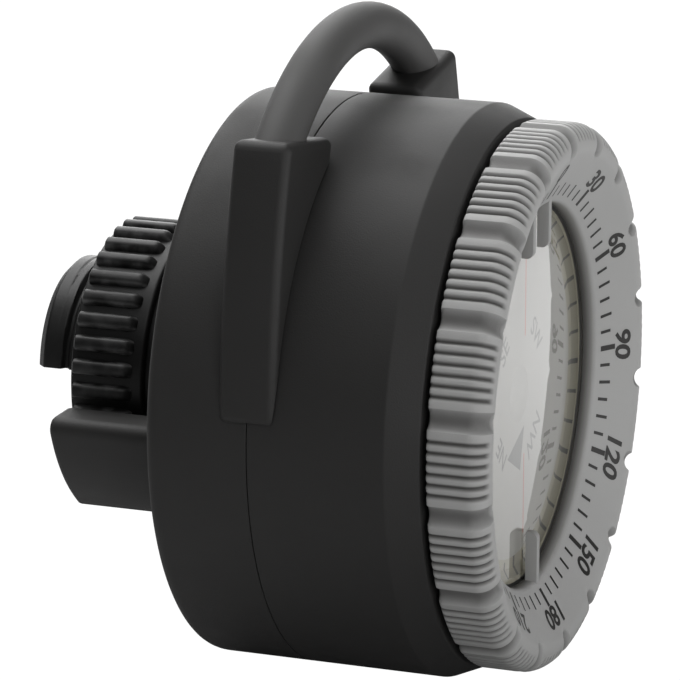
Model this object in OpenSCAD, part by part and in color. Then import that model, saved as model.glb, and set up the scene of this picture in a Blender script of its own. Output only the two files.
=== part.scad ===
// Diving compass on a spring retractor, with a strap clamp behind.
// The dial looks along -Y, the loop is up (+Z), and the origin is on the axis at the rear mount face.
// Pieces are drawn face up: their local z is the height in front of the mount face.

/* [Drum] */
// Outer diameter of the two shells
drum_d = 70; // [66:0.5:80]
// Depth of the rear case, from its mount face to the seam
rear_depth = 12.9; // [12:0.1:16]
// Depth of the front boot, from the seam to its lip
front_depth = 20.5; // [19:0.1:26]
// Side wall of both shells
shell_wall = 2.2; // [1.6:0.1:3]
// Rear wall of the case
rear_wall = 2.4; // [1.6:0.1:3]
// Back wall of the boot
boot_back = 2; // [1.5:0.1:3]
// Rounding of the case's rear edge
rear_edge_r = 1.8; // [0.8:0.1:2.2]
// Length of the boot's tapered lip
lip_len = 3.8; // [2:0.1:6]
// How far the lip tapers in
lip_in = 1.65; // [0.5:0.05:2]
// Room between the lip and the capsule's neck
lip_room = 2.2; // [1.5:0.1:2.6]
// Thickness of the lip over the capsule's shoulder
lip_t = 0.7; // [0.5:0.1:1]
// Open line between the two shells
seam_gap = 0.3; // [0.2:0.05:0.6]

/* [Lugs and loop] */
// Width of a lug along the axis
lug_w = 7.1; // [6.6:0.1:9]
// How far a lug lies over the front boot
lug_overhang = 3.6; // [2:0.1:4.2]
// Thickness of a lug at its top
lug_t = 14.6; // [11:0.1:16]
// Height of the lugs' tops above the axis
lug_top = 35.8; // [34:0.1:40]
// Height of the lugs' feet above the axis
lug_foot = 3.4; // [2:0.1:12]
// How far a lug stands out of the drum's flank
lug_proud = 0.4; // [0.2:0.05:1]
// Radius of a lug's outer face
lug_flank_r = 118; // [90:1:160]
// Lean of a lug's top towards the axis
lug_lean = 9; // [4:0.5:14]
// Edge rounding of a lug
lug_edge_r = 1; // [0.4:0.1:1.5]
// Diameter of the loop
loop_d = 5.7; // [4:0.1:6.2]
// Clear height under the loop's crown
loop_gap = 5.5; // [4.5:0.1:10]
// Half the span between the loop's feet
loop_foot = 23.2; // [22:0.1:25]
// Depth of the loop's feet in the lugs
loop_seat = 4.5; // [3:0.1:5.5]

/* [Bezel] */
// Outer diameter over the grip pads
bezel_d = 66.6; // [64:0.2:72]
// Depth from the bezel's rear to its crest
bezel_depth = 7.3; // [6.8:0.1:10]
// Diameter of the opening round the window
bezel_open_d = 47; // [42:0.2:48]
// Rounding of the crest
crest_r = 2.5; // [1.8:0.1:3]
// Height of the wall round the window
open_wall = 1.3; // [0.8:0.1:2]
// Rounding of that wall's edge
open_edge_r = 0.4; // [0.2:0.1:0.6]
// Number of grip pads
pad_count = 18; // [12:1:18]
// Grooves across one pad
groove_count = 6; // [4:1:7]
// Angle from groove to groove
groove_pitch = 2.2; // [1.9:0.05:2.3]
// Radius of a groove
groove_r = 0.35; // [0.25:0.05:0.5]
// Depth of a groove
groove_depth = 0.28; // [0.15:0.01:0.4]
// Radius of a notch between pads
notch_r = 1.5; // [1.2:0.1:1.8]
// Depth of a notch
notch_depth = 0.75; // [0.5:0.05:1]
// How far a notch runs round the crest, in degrees
notch_wrap = 100; // [60:5:110]
// Height of the gates over the window
gate_h = 1.5; // [1:0.1:2]
// Reach of the two upper prongs towards the axis
gate_reach = 5.7; // [4:0.1:8]
// Reach of the single lower prong
pointer_reach = 6.3; // [4:0.1:8]
// Width of a prong
prong_w = 1.1; // [0.8:0.1:1.6]
// Gap between the two upper prongs
prong_gap = 5; // [3:0.1:6]
// Rounding of a prong's tip
gate_tip_r = 1; // [0.4:0.1:1]

/* [Capsule] */
// Diameter of the neck that the bezel turns on
neck_d = 57; // [55:0.2:58]
// Height of the window's face above the boot's lip
neck_rise = 2.2; // [2:0.1:3.4]
// Diameter of the window
window_d = 51.6; // [50.4:0.2:52.4]
// Thickness of the window
window_t = 0.8; // [0.6:0.1:1.2]
// Thickness of the window's gasket
seal_t = 0.5; // [0.3:0.1:0.8]
// Diameter of the bowl
bowl_d = 48; // [47.4:0.1:49]
// Depth of the bowl under the gasket
bowl_depth = 11.6; // [10.5:0.1:12]
// Diameter of the diaphragm
diaphragm_d = 26; // [20:0.2:30]
// Depth of the diaphragm's recess in the capsule's back
diaphragm_depth = 4.5; // [4:0.1:5]
// Thickness of the diaphragm
diaphragm_t = 0.8; // [0.6:0.1:1.2]
// Diameter of the filling hole
fill_d = 4; // [3:0.1:5]
// Thickness of the filling plug's head
plug_head_t = 1.6; // [1.2:0.1:2]
// Distance of the filling hole above the axis
fill_rise = 18; // [17:0.1:19]

/* [Card] */
// Diameter of the card's flat face
card_d = 42.8; // [38:0.2:43.4]
// Diameter over the card's raised rim
card_rim_d = 46.2; // [45:0.1:46.6]
// Height of the rim above the face
card_rim_h = 2.2; // [1.5:0.1:2.2]
// Thickness of the card
card_t = 0.6; // [0.4:0.1:0.8]
// Distance from the window to the card's face
card_drop = 2.5; // [2.5:0.1:3.2]
// Diameter of the hub
hub_d = 7; // [6:0.1:8]
// Height of the hub's dome above the card
hub_rise = 0.6; // [0.4:0.1:1]
// Depth of the hub under the card
hub_drop = 2.2; // [1.6:0.1:2.6]
// Length of a magnet
magnet_l = 22; // [16:0.5:28]
// Side of a magnet's square section
magnet_s = 2.5; // [2:0.1:3]
// Distance between the two magnets
magnet_gap = 8.5; // [8.2:0.1:12]
// Diameter of the pivot post
post_d = 4.4; // [3.5:0.1:5]
// Length of needle between the post and the hub
needle_show = 2.4; // [1.5:0.1:3]
// Diameter of the steel needle
needle_d = 1; // [0.8:0.05:1.2]

/* [Retractor] */
// Thickness of the reel cover
cover_t = 2; // [1.8:0.1:2.4]
// Thickness of the reel's flanges and web
reel_flange_t = 0.9; // [0.6:0.1:1.1]
// Depth of the cord groove in the reel
reel_groove = 2.5; // [2:0.1:3]
// Wall between the cord groove and the spring
barrel_wall = 1.5; // [1:0.1:2]
// Diameter of the axle in the reel's bore
axle_d = 5; // [4:0.1:6]
// Diameter of the axle's root inside the spring
axle_root_d = 8.4; // [7.5:0.1:10]
// Diameter of the pull cord
cord_d = 1.2; // [0.8:0.1:1.4]
// Turns of the mainspring
spring_turns = 5; // [4:1:6]
// Thickness of the spring strip
spring_t = 0.5; // [0.3:0.05:0.6]
// Diameter of the cover screws' bosses
boss_d = 5.6; // [5:0.1:6.5]
// Diameter of the cover screws
screw_d = 2; // [1.6:0.1:2.4]
// Wall of the case behind the eyelet
eyelet_inset = 3.8; // [3.4:0.1:5]
// Diameter of the cord eyelet
eyelet_d = 4; // [3.4:0.1:4.6]

/* [Strap clamp] */
// Diameter of the half-round spigot over its thread
spigot_d = 24.2; // [20:0.2:25]
// Length of the spigot behind the mount face
spigot_len = 23.4; // [22:0.1:30]
// Height of the spigot's flat above the axis
spigot_flat = 1; // [0:0.1:3]
// Diameter of the stem through the case's rear wall
stem_d = 16; // [14:0.2:18]
// Thickness of the spigot's flange inside the case
stem_flange_t = 1.6; // [1.2:0.1:1.8]
// Diameter of the nut over its ribs
nut_d = 35; // [32:0.2:36]
// Length of the nut
nut_len = 8.9; // [7:0.1:11]
// Number of ribs on the nut
rib_count = 36; // [28:1:40]
// Radius of a rib
rib_r = 1.25; // [0.9:0.05:1.3]
// Depth between the ribs
rib_depth = 1; // [0.6:0.1:1.2]
// Diameter of the washer
washer_d = 31; // [28:0.2:32]
// Thickness of the washer
washer_t = 1.5; // [1:0.1:2.5]
// Open strap space between the mount face and the washer
strap_gap = 6.4; // [6:0.1:9]
// Wall of the saddle at its flanks
saddle_wall = 6.6; // [5:0.1:8]
// Height of the saddle's centre above the axis
saddle_rise = 4.6; // [3:0.1:5]
// How far the saddle's top lies under the axis
saddle_top = 1.9; // [1:0.1:5]
// How far the saddle's level underside lies under the axis
saddle_base = 14.9; // [13:0.1:16]
// Width of the way between the saddle's two horns
saddle_pass = 25; // [22:0.5:27]
// Length of the saddle behind the mount face
saddle_len = 17.2; // [14:0.1:22]
// Edge rounding of the saddle's rims
saddle_edge_r = 1.5; // [0.5:0.1:2]

/* [Fits] */
// Radial clearance of a turning or sliding fit
run_fit = 0.06; // [0.03:0.01:0.1]
// Clearance of a piece that drops into its seat
drop_fit = 0.1; // [0.05:0.01:0.2]
// Room between pieces that pass each other
pass_gap = 0.3; // [0.3:0.05:0.5]
// Room between the boot's lip and the bezel
bezel_gap = 0.5; // [0.3:0.1:0.8]
// Room between the saddle and the nut
saddle_gap = 0.8; // [0.5:0.1:1.2]

/* [Hidden] */
$fn = 96;

// Cuts run past the faces they open by this much
past = 1;

// Heights of the main planes in front of the mount face
seam_z = rear_depth;
boot_floor_z = seam_z + boot_back;
lip_z = seam_z + front_depth;
shoulder_z = lip_z - lip_t;
window_z = lip_z + neck_rise;
window_back_z = window_z - window_t;
ledge_z = window_back_z - seal_t;
bowl_floor_z = ledge_z - bowl_depth;
bezel_back_z = lip_z + bezel_gap;
bezel_lid_z = window_z + pass_gap;
crest_z = bezel_back_z + bezel_depth;
cover_z = seam_z - cover_t;

// Radii of the shells and of what fills them
drum_r = drum_d / 2;
shell_in_r = drum_r - shell_wall;
capsule_r = shell_in_r - drop_fit;
neck_r = neck_d / 2;
lip_r = neck_r + lip_room;
bezel_r = bezel_d / 2;
window_r = window_d / 2;
bowl_r = bowl_d / 2;

// Retractor: bosses stand against the case's wall, and the eyelet lies between them and the reel
boss_r = boss_d / 2;
boss_inset = 0.6;
boss_ring_r = shell_in_r - boss_r + boss_inset;
boss_angles = [45, 135, 225, 315];
pilot_depth = 5;
eyelet_r = eyelet_d / 2;
eyelet_rim = 1;
eyelet_rim_t = 0.8;
eyelet_wall = 1;
eyelet_ring_r = shell_in_r - eyelet_r - eyelet_inset;
reel_r = eyelet_ring_r - eyelet_r - 1;
reel_back_z = rear_wall + stem_flange_t + pass_gap;
reel_front_z = cover_z - pass_gap;
groove_floor_r = reel_r - reel_groove;
barrel_r = groove_floor_r - barrel_wall;
hub_len = 2 * reel_flange_t;
axle_step_z = reel_front_z - hub_len - pass_gap;
cord_r = cord_d / 2;
cord_mid_z = (reel_back_z + reel_front_z) / 2;
cord_fill_r = reel_r - 0.6;
cord_bend_r = 2;

// Boot and capsule pockets for the cord's ferrule
anchor_r = 1.5;
anchor_head_r = 3;
anchor_head_t = 2;
anchor_pocket_gap = 0.4;

// Lugs: each outer face is an arc that leaves the drum at its waist
lug_back_z = seam_z + lug_overhang - lug_w;
lug_flank_x = drum_r + lug_proud - lug_flank_r;
lug_top_x = lug_flank_x + sqrt(pow(lug_flank_r, 2) - pow(lug_top, 2));
lug_corner_r = 1.4;
lug_bevel_deg = 36;
dock_r = drum_r + pass_gap;

// Loop: an arc through the two feet and the crown
loop_r = loop_d / 2;
loop_crown = drum_r + loop_gap + loop_r;
loop_sag = loop_crown - lug_top + 0.6;
loop_arc_r = (pow(loop_foot, 2) + pow(loop_sag, 2)) / (2 * loop_sag);
loop_centre = loop_crown - loop_arc_r;
loop_z = lug_back_z + lug_w / 2;
loop_half_deg = asin(loop_foot / loop_arc_r) + loop_seat / loop_arc_r * 180 / PI;

// Bezel
snap_depth = 0.7;
snap_w = 0.7;
snap_land = 0.35;
snap_z = bezel_back_z + snap_land;
bezel_open_r = bezel_open_d / 2;
bezel_open_z = bezel_lid_z + open_wall;
bezel_back_bevel = 0.5;
gate_root = 1;

// Scale face: the straight line from the opening's edge that touches the crest's rounding
crest = [bezel_r - crest_r, crest_z - crest_r];
crest_off = crest - [bezel_open_r, bezel_open_z];
scale_slope = atan2(crest_off[1], crest_off[0]) + asin(crest_r / norm(crest_off));

// Card and pivot
card_z = window_back_z - card_drop;
card_back_z = card_z - card_t;
rim_wall = 0.6;
hub_r = hub_d / 2;
cup_r = 1.2;
cup_apex_z = card_z - 0.2;
needle_r = needle_d / 2;
needle_tip_z = cup_apex_z - 0.1;
needle_seat = 3;
post_z = card_back_z - hub_drop - needle_show;

// Clamp: heights behind the mount face are negative
spigot_r = spigot_d / 2;
washer_back_z = -strap_gap - washer_t;
nut_back_z = washer_back_z - nut_len;
nut_r = nut_d / 2;
saddle_in_r = nut_r + saddle_gap;
saddle_r = saddle_in_r + saddle_wall;
collar_len = 1.2;
tip_bevel = 1;

// Turns a face-up piece so that its face looks along -Y and its top is up
module facing() {
    rotate([90, 0, 0]) children();
}

// Points of an arc about c, from angle a0 to a1
function arc(c, r, a0, a1, n) = [
    for (i = [0:n]) let (a = a0 + (a1 - a0) * i / n) [c[0] + r * cos(a), c[1] + r * sin(a)]
];

// Points of a curve from a to b that leaves towards k, without its ends
function bow(a, k, b, n) = [
    for (i = [1:n - 1]) let (t = i / n) pow(1 - t, 2) * a + 2 * t * (1 - t) * k + t * t * b
];

// Revolves a profile of [radius, height] points
module turned(points) {
    rotate_extrude($fn = 180) polygon(points);
}

// Ring of rectangular section
module ring(r_in, r_out, z0, z1) {
    turned([[r_in, z0], [r_out, z0], [r_out, z1], [r_in, z1]]);
}

// Upright cylinder between two heights
module rod(r, z0, z1) {
    translate([0, 0, z0]) cylinder(r = r, h = z1 - z0);
}

// Rectangle with round corners, from its lower left corner
module soft_rect(w, h, r) {
    translate([r, 0]) square([w - 2 * r, h]);
    translate([0, r]) square([w, h - 2 * r]);
    for (x = [r, w - r], y = [r, h - r]) translate([x, y]) circle(r);
}

// One lug on the +X flank: an arched strip with soft edges and a leaning top
module lug_block() {
    intersection() {
        translate([lug_flank_x, 0, lug_back_z]) rotate_extrude($fn = 360)
            translate([lug_flank_r - 2 * lug_t, 0]) soft_rect(2 * lug_t, lug_w, lug_edge_r);
        translate([lug_top_x, lug_top, lug_back_z]) rotate(lug_lean) rotate([90, 0, 90])
            translate([-2 * lug_top, 0, -2 * lug_t]) linear_extrude(2 * lug_t + drum_r)
            soft_rect(2 * lug_top, lug_w, lug_edge_r);
        translate([0, 0, lug_back_z - past]) linear_extrude(lug_w + 2 * past) difference() {
            intersection() {
                translate([lug_top_x, lug_top]) rotate(lug_lean) translate([-lug_t, -2 * lug_top])
                    soft_rect(lug_t + drum_r, 2 * lug_top, lug_corner_r);
                translate([0, lug_foot]) square([2 * drum_r, 2 * lug_top]);
            }
            translate([lug_top_x, lug_top]) rotate(-lug_bevel_deg)
                translate([-drum_r, -lug_edge_r / 2]) square(2 * drum_r);
        }
    }
}

// Loop's round bar along its arc, grown by a clearance
module loop_bar(grow, half_deg) {
    translate([0, loop_centre, loop_z]) rotate([0, 0, 90 - half_deg])
        rotate_extrude(angle = 2 * half_deg, $fn = 180) translate([loop_arc_r, 0]) circle(loop_r + grow);
}

module rear_case() {
    color("#2b2b2b") facing() difference() {
        union() {
            turned(concat(
                [[0, 0]],
                arc([drum_r - rear_edge_r, rear_edge_r], rear_edge_r, -90, 0, 6),
                [[drum_r, seam_z - seam_gap], [shell_in_r, seam_z - seam_gap], [shell_in_r, rear_wall],
                 [0, rear_wall]]
            ));
            for (a = boss_angles) rotate(a) translate([boss_ring_r, 0]) rod(boss_r, rear_wall / 2, cover_z);
            for (side = [0, 1]) mirror([side, 0, 0]) difference() {
                lug_block();
                rod(drum_r - shell_wall / 2, lug_back_z - past, seam_z);
                rod(dock_r, seam_z - seam_gap, lip_z);
            }
        }
        loop_bar(drop_fit / 2, loop_half_deg);
        rod(stem_d / 2, -past, rear_wall + past);
        for (a = boss_angles) rotate(a) translate([boss_ring_r, 0])
            rod(screw_d / 2, cover_z - pilot_depth, cover_z + past);
    }
}

module carry_loop() {
    color("#303030") facing() loop_bar(0, loop_half_deg);
}

// Saddle: two thick horns beside the nut, level underneath and open between them for the strap
module strap_saddle() {
    rim_x = sqrt(pow(saddle_r - saddle_edge_r, 2) - pow(saddle_rise + saddle_top + saddle_edge_r, 2));
    rim_y = -saddle_top - saddle_edge_r;
    rim_deg = atan2(rim_y - saddle_rise, rim_x);
    color("#2b2b2b") facing() translate([0, 0, -saddle_len]) linear_extrude(saddle_len) difference() {
        union() {
            difference() {
                translate([0, saddle_rise]) circle(saddle_r, $fn = 180);
                translate([-saddle_r, -saddle_top]) square(2 * saddle_r);
                for (side = [0, 1]) mirror([side, 0]) polygon([
                    [rim_x, rim_y], [rim_x, saddle_rise], [saddle_r + past, saddle_rise],
                    [(saddle_r + past) * cos(rim_deg), saddle_rise + (saddle_r + past) * sin(rim_deg)]
                ]);
            }
            for (side = [-1, 1]) translate([side * rim_x, rim_y]) circle(saddle_edge_r);
        }
        circle(saddle_in_r, $fn = 180);
        translate([-saddle_r, -saddle_base - saddle_r]) square([2 * saddle_r, saddle_r]);
        translate([-saddle_pass / 2, -saddle_r]) square([saddle_pass, saddle_r]);
    }
}

// Section of the spigot behind the case, grown by a clearance
module spigot_section(grow) {
    intersection() {
        circle(spigot_r + grow, $fn = 180);
        translate([-nut_r, spigot_flat - grow]) square([2 * nut_r, nut_r]);
    }
}

module threaded_spigot() {
    flange_z = rear_wall + stem_flange_t;
    color("#1c1c1c") facing() difference() {
        union() {
            rod(stem_d / 2 - drop_fit / 2, 0, rear_wall);
            rod(stem_d / 2 + 2, rear_wall, flange_z);
            intersection() {
                translate([0, 0, -spigot_len]) linear_extrude(spigot_len) spigot_section(0);
                turned([[0, 0], [spigot_r, 0], [spigot_r, tip_bevel - spigot_len],
                        [spigot_r - tip_bevel, -spigot_len], [0, -spigot_len]]);
            }
        }
        rod(axle_d / 2, flange_z - needle_seat, flange_z + past);
    }
}

module reel_axle() {
    flange_z = rear_wall + stem_flange_t;
    color("#9a9a98") facing() {
        rod(axle_d / 2, flange_z - needle_seat, cover_z);
        rod(axle_root_d / 2, flange_z, axle_step_z);
    }
}

// Flat spiral strip from the axle's root to just inside the reel's barrel
module mainspring() {
    steps = 20 * spring_turns;
    r0 = axle_root_d / 2;
    r1 = barrel_r - pass_gap - spring_t;
    strip = [for (i = [0:steps]) let (a = 18 * i, r = r0 + (r1 - r0) * i / steps) [r * cos(a), r * sin(a)]];
    back = [for (i = [steps:-1:0]) let (a = 18 * i, r = r0 + (r1 - r0) * i / steps + spring_t)
        [r * cos(a), r * sin(a)]];
    color("#7f8488") facing() translate([0, 0, reel_back_z])
        linear_extrude(axle_step_z - pass_gap - reel_back_z) polygon(concat(strip, back));
}

module reel_cover() {
    color("#2e2e2e") facing() difference() {
        rod(shell_in_r - drop_fit, cover_z, seam_z);
        for (a = boss_angles) rotate(a) translate([boss_ring_r, 0]) {
            rod(screw_d / 2 + drop_fit, cover_z - past, seam_z + past);
            translate([0, 0, seam_z - screw_d / 2]) cylinder(r1 = screw_d / 2, r2 = screw_d, h = screw_d / 2);
        }
        translate([0, -eyelet_ring_r]) {
            rod(eyelet_r, cover_z - past, seam_z + past);
            rod(eyelet_r + eyelet_rim, seam_z - eyelet_rim_t, seam_z + past);
        }
    }
}

// Countersunk screws, heads flush with the cover
module cover_screws() {
    color("#8d8f90") facing() for (a = boss_angles) rotate(a) translate([boss_ring_r, 0]) difference() {
        turned([[0, cover_z - pilot_depth + 0.5], [screw_d / 2, cover_z - pilot_depth + 0.5],
                [screw_d / 2, seam_z - screw_d / 2], [screw_d - drop_fit, seam_z - drop_fit],
                [0, seam_z - drop_fit]]);
        for (turn = [0, 90]) rotate(turn) translate([-screw_d / 2, -screw_d / 8, seam_z - screw_d / 4])
            cube([screw_d, screw_d / 4, screw_d]);
    }
}

module cord_eyelet() {
    color("#b5a26a") facing() translate([0, -eyelet_ring_r]) difference() {
        union() {
            rod(eyelet_r, cover_z, seam_z);
            rod(eyelet_r + eyelet_rim, seam_z - eyelet_rim_t, seam_z);
        }
        rod(eyelet_r - eyelet_wall, cover_z - past, seam_z + past);
    }
}

// Cord from the reel's edge to the eyelet: a straight run, a quarter bend and a rise
module cord_lead() {
    wind_r = groove_floor_r + reel_groove / 2;
    run = sqrt(pow(eyelet_ring_r, 2) - pow(wind_r, 2));
    clear = sqrt(pow(reel_r + cord_r + pass_gap, 2) - pow(wind_r, 2));
    to_reel = 90 - acos(run / eyelet_ring_r);
    color("#d8d2c0") facing() translate([0, -eyelet_ring_r, cord_mid_z]) {
        rotate(to_reel) {
            translate([cord_bend_r, 0]) rotate([0, 90, 0]) cylinder(r = cord_r, h = run - clear - cord_bend_r);
            translate([cord_bend_r, 0, cord_bend_r]) rotate([90, 0, 0]) rotate(180)
                rotate_extrude(angle = 90) translate([cord_bend_r, 0]) circle(cord_r, $fn = 24);
        }
        rod(cord_r, cord_bend_r, seam_z - cord_mid_z);
    }
}

module cord_reel() {
    z0 = reel_back_z;
    z1 = reel_front_z;
    web_z = z1 - reel_flange_t;
    bore_r = axle_d / 2 + run_fit;
    color("#4a4a48") facing() turned([
        [bore_r, z1 - hub_len], [axle_root_d / 2, z1 - hub_len], [axle_root_d / 2, web_z], [barrel_r, web_z],
        [barrel_r, z0], [reel_r, z0], [reel_r, z0 + reel_flange_t], [groove_floor_r, z0 + reel_flange_t],
        [groove_floor_r, web_z], [reel_r, web_z], [reel_r, z1], [bore_r, z1]
    ]);
}

module wound_cord() {
    color("#d8d2c0") facing() ring(groove_floor_r, cord_fill_r, reel_back_z + reel_flange_t,
        reel_front_z - reel_flange_t);
}

// Washer keyed to the spigot's flat, so that it slides without turning
module clamp_washer() {
    color("#202020") facing() translate([0, 0, washer_back_z]) linear_extrude(washer_t) difference() {
        circle(washer_d / 2, $fn = 180);
        spigot_section(run_fit);
    }
}

// Ring nut with round ribs that run out into a collar at the front
module clamp_nut() {
    root_r = nut_r - rib_depth;
    front_z = washer_back_z;
    color("#1c1c1c") facing() difference() {
        intersection() {
            translate([0, 0, nut_back_z]) linear_extrude(nut_len) {
                circle(root_r, $fn = 180);
                for (i = [0:rib_count - 1]) rotate(i * 360 / rib_count) translate([nut_r - rib_r, 0])
                    circle(rib_r, $fn = 24);
            }
            turned(concat(
                [[0, nut_back_z], [nut_r - tip_bevel, nut_back_z], [nut_r, nut_back_z + tip_bevel / 2]],
                arc([nut_r - 2 * rib_depth, front_z - collar_len - 2 * rib_depth], 2 * rib_depth, 0, 60, 4),
                [[root_r, front_z - collar_len], [root_r - tip_bevel / 2, front_z], [0, front_z]]
            ));
        }
        rod(spigot_r + run_fit, nut_back_z - past, front_z + past);
    }
}

module front_boot() {
    lip_start_z = lip_z - lip_len;
    color("#2b2b2b") facing() difference() {
        turned([
            [0, seam_z], [drum_r, seam_z], [drum_r, lip_start_z], [drum_r - lip_in, lip_z], [lip_r, lip_z],
            [lip_r, shoulder_z], [shell_in_r, shoulder_z], [shell_in_r, boot_floor_z], [0, boot_floor_z]
        ]);
        translate([0, -eyelet_ring_r]) rod(anchor_r, seam_z - past, boot_floor_z + past);
    }
}

// Ferrule on the cord's end, headed inside the boot
module cord_anchor() {
    color("#a8a8a4") facing() translate([0, -eyelet_ring_r]) {
        rod(anchor_r, seam_z, boot_floor_z);
        rod(anchor_head_r, boot_floor_z, boot_floor_z + anchor_head_t);
    }
}

module capsule_body() {
    recess_z = boot_floor_z + diaphragm_depth;
    color("#3a3a38") facing() difference() {
        turned([
            [0, boot_floor_z], [capsule_r, boot_floor_z], [capsule_r, shoulder_z], [neck_r, shoulder_z],
            [neck_r, snap_z - drop_fit], [neck_r - snap_depth, snap_z - drop_fit],
            [neck_r - snap_depth, snap_z + snap_w + drop_fit], [neck_r, snap_z + snap_w + drop_fit],
            [neck_r, window_z], [window_r, window_z], [window_r, ledge_z], [bowl_r, ledge_z],
            [bowl_r, bowl_floor_z], [0, bowl_floor_z]
        ]);
        rod(diaphragm_d / 2, boot_floor_z - past, recess_z);
        for (a = [0, 120, 240]) rotate(a) translate([diaphragm_d / 4, 0]) rod(1.2, recess_z - past, ledge_z);
        translate([0, fill_rise]) {
            rod(fill_d / 2, boot_floor_z - past, ledge_z);
            rod(fill_d / 2 + 1, boot_floor_z - past, boot_floor_z + plug_head_t);
        }
        translate([0, -eyelet_ring_r])
            rod(anchor_head_r + anchor_pocket_gap, boot_floor_z - past,
                boot_floor_z + anchor_head_t + anchor_pocket_gap);
    }
}

module window_seal() {
    color("#77745f") facing() ring(bowl_r, window_r, ledge_z, window_back_z);
}

module window() {
    color([0.9, 0.93, 0.93, 0.3]) facing() rod(window_r, window_back_z, window_z);
}

// Soft disc with one ripple and a bead round its edge
module diaphragm() {
    r = diaphragm_d / 2;
    z1 = boot_floor_z + diaphragm_depth;
    z0 = z1 - diaphragm_t;
    color("#1f1f1f") facing() turned([
        [0, z0], [r * 0.35, z0], [r * 0.45, z0 - diaphragm_t], [r * 0.6, z0 - diaphragm_t], [r * 0.7, z0],
        [r, z0], [r, z1], [r * 0.72, z1], [r * 0.62, z0], [r * 0.43, z0], [r * 0.33, z1], [0, z1]
    ]);
}

module diaphragm_ring() {
    r = diaphragm_d / 2;
    color("#8a8a86") facing() ring(r * 0.78, r, boot_floor_z, boot_floor_z + diaphragm_depth - diaphragm_t);
}

// Slotted plug of the filling hole, with its head in the capsule's back
module fill_plug() {
    color("#a8a8a4") facing() translate([0, fill_rise]) difference() {
        union() {
            rod(fill_d / 2, boot_floor_z, bowl_floor_z);
            rod(fill_d / 2 + 1 - drop_fit, boot_floor_z, boot_floor_z + plug_head_t);
        }
        translate([-fill_d, -0.4, boot_floor_z - past]) cube([2 * fill_d, 0.8, past + 0.7]);
    }
}

module pivot_post() {
    color("#b9b9b4") facing() difference() {
        turned([[0, bowl_floor_z], [post_d, bowl_floor_z], [post_d / 2, bowl_floor_z + post_d / 2],
                [post_d / 2, post_z], [0, post_z]]);
        rod(needle_r, post_z - needle_seat, post_z + past);
    }
}

module pivot_needle() {
    taper_z = card_back_z - hub_drop + 0.2;
    color("#c8c8c6") facing() turned([
        [0, post_z - needle_seat], [needle_r, post_z - needle_seat], [needle_r, taper_z],
        [needle_r / 5, needle_tip_z], [0, needle_tip_z]
    ]);
}

// Flat card with a raised conical rim that carries the outer scale
module compass_card() {
    face_r = card_d / 2;
    rim_r = card_rim_d / 2;
    rim_z = card_z + card_rim_h;
    color("#e2e1da") facing() turned([
        [hub_r, card_back_z], [face_r + rim_wall / 2, card_back_z], [rim_r, rim_z - rim_wall], [rim_r, rim_z],
        [rim_r - rim_wall, rim_z], [face_r, card_z], [hub_r, card_z]
    ]);
}

// Domed hub with the conical cup that sits on the needle
module card_hub() {
    hub_back_z = card_back_z - hub_drop;
    color("#cfcfc8") facing() turned(concat(
        [[cup_r, hub_back_z], [hub_r, hub_back_z], [hub_r, card_z]],
        bow([hub_r, card_z], [hub_r * 0.6, card_z + hub_rise], [0, card_z + hub_rise], 6),
        [[0, card_z + hub_rise], [0, cup_apex_z]]
    ));
}

module card_magnets() {
    color("#6f7275") facing() for (side = [-1, 1])
        translate([side * (magnet_gap + magnet_s) / 2 - magnet_s / 2, -magnet_l / 2, card_back_z - magnet_s])
            cube([magnet_s, magnet_l, magnet_s]);
}

// Outline of the grip: pads with fine grooves
module grip_outline() {
    difference() {
        circle(bezel_r, $fn = 180);
        for (i = [0:pad_count - 1], k = [0:groove_count - 1])
            rotate(90 + (i + 0.5) * 360 / pad_count + (k - (groove_count - 1) / 2) * groove_pitch)
                translate([bezel_r + groove_r - groove_depth, 0]) circle(groove_r, $fn = 16);
    }
}

// Cutter of one notch: straight up the flank, then round the crest to a round end
module notch_cutter() {
    bend_r = crest_r + notch_r - notch_depth;
    translate([crest[0], 0]) {
        translate([bend_r, 0]) rod(notch_r, bezel_back_z - past, crest[1]);
        translate([0, 0, crest[1]]) rotate([90, 0, 0]) {
            rotate_extrude(angle = notch_wrap) translate([bend_r, 0]) circle(notch_r, $fn = 48);
            rotate(notch_wrap) translate([bend_r, 0]) sphere(notch_r, $fn = 48);
        }
    }
}

// Body of the bezel in section: bore, lid over the window, sloping scale face, round crest
module bezel_solid() {
    bore_r = neck_r + run_fit;
    groove_r_out = neck_r + snap_depth;
    edge_step = open_edge_r * (1 - sin(scale_slope)) / cos(scale_slope);
    edge = [bezel_open_r + open_edge_r,
            bezel_open_z + edge_step * sin(scale_slope) - open_edge_r * cos(scale_slope)];
    turned(concat(
        [[bore_r, bezel_back_z], [bezel_r - bezel_back_bevel, bezel_back_z],
         [bezel_r, bezel_back_z + bezel_back_bevel]],
        arc(crest, crest_r, 0, 90 + scale_slope, 9),
        arc(edge, open_edge_r, 90 + scale_slope, 180, 4),
        [[bezel_open_r, bezel_lid_z], [bore_r, bezel_lid_z], [bore_r, snap_z + snap_w],
         [groove_r_out, snap_z + snap_w], [groove_r_out, snap_z], [bore_r, snap_z]]
    ));
}

// Prong that reaches from the opening's edge towards the axis, with a round tip
module prong(reach) {
    tip = bezel_open_r - reach;
    translate([-prong_w / 2, 0]) rotate([90, 0, 90]) linear_extrude(prong_w) translate([tip, bezel_lid_z]) {
        square([reach + gate_root, gate_h - gate_tip_r]);
        translate([gate_tip_r, 0]) square([reach + gate_root - gate_tip_r, gate_h]);
        translate([gate_tip_r, gate_h - gate_tip_r]) intersection() {
            circle(gate_tip_r);
            translate([-gate_tip_r, 0]) square(gate_tip_r);
        }
    }
}

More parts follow.
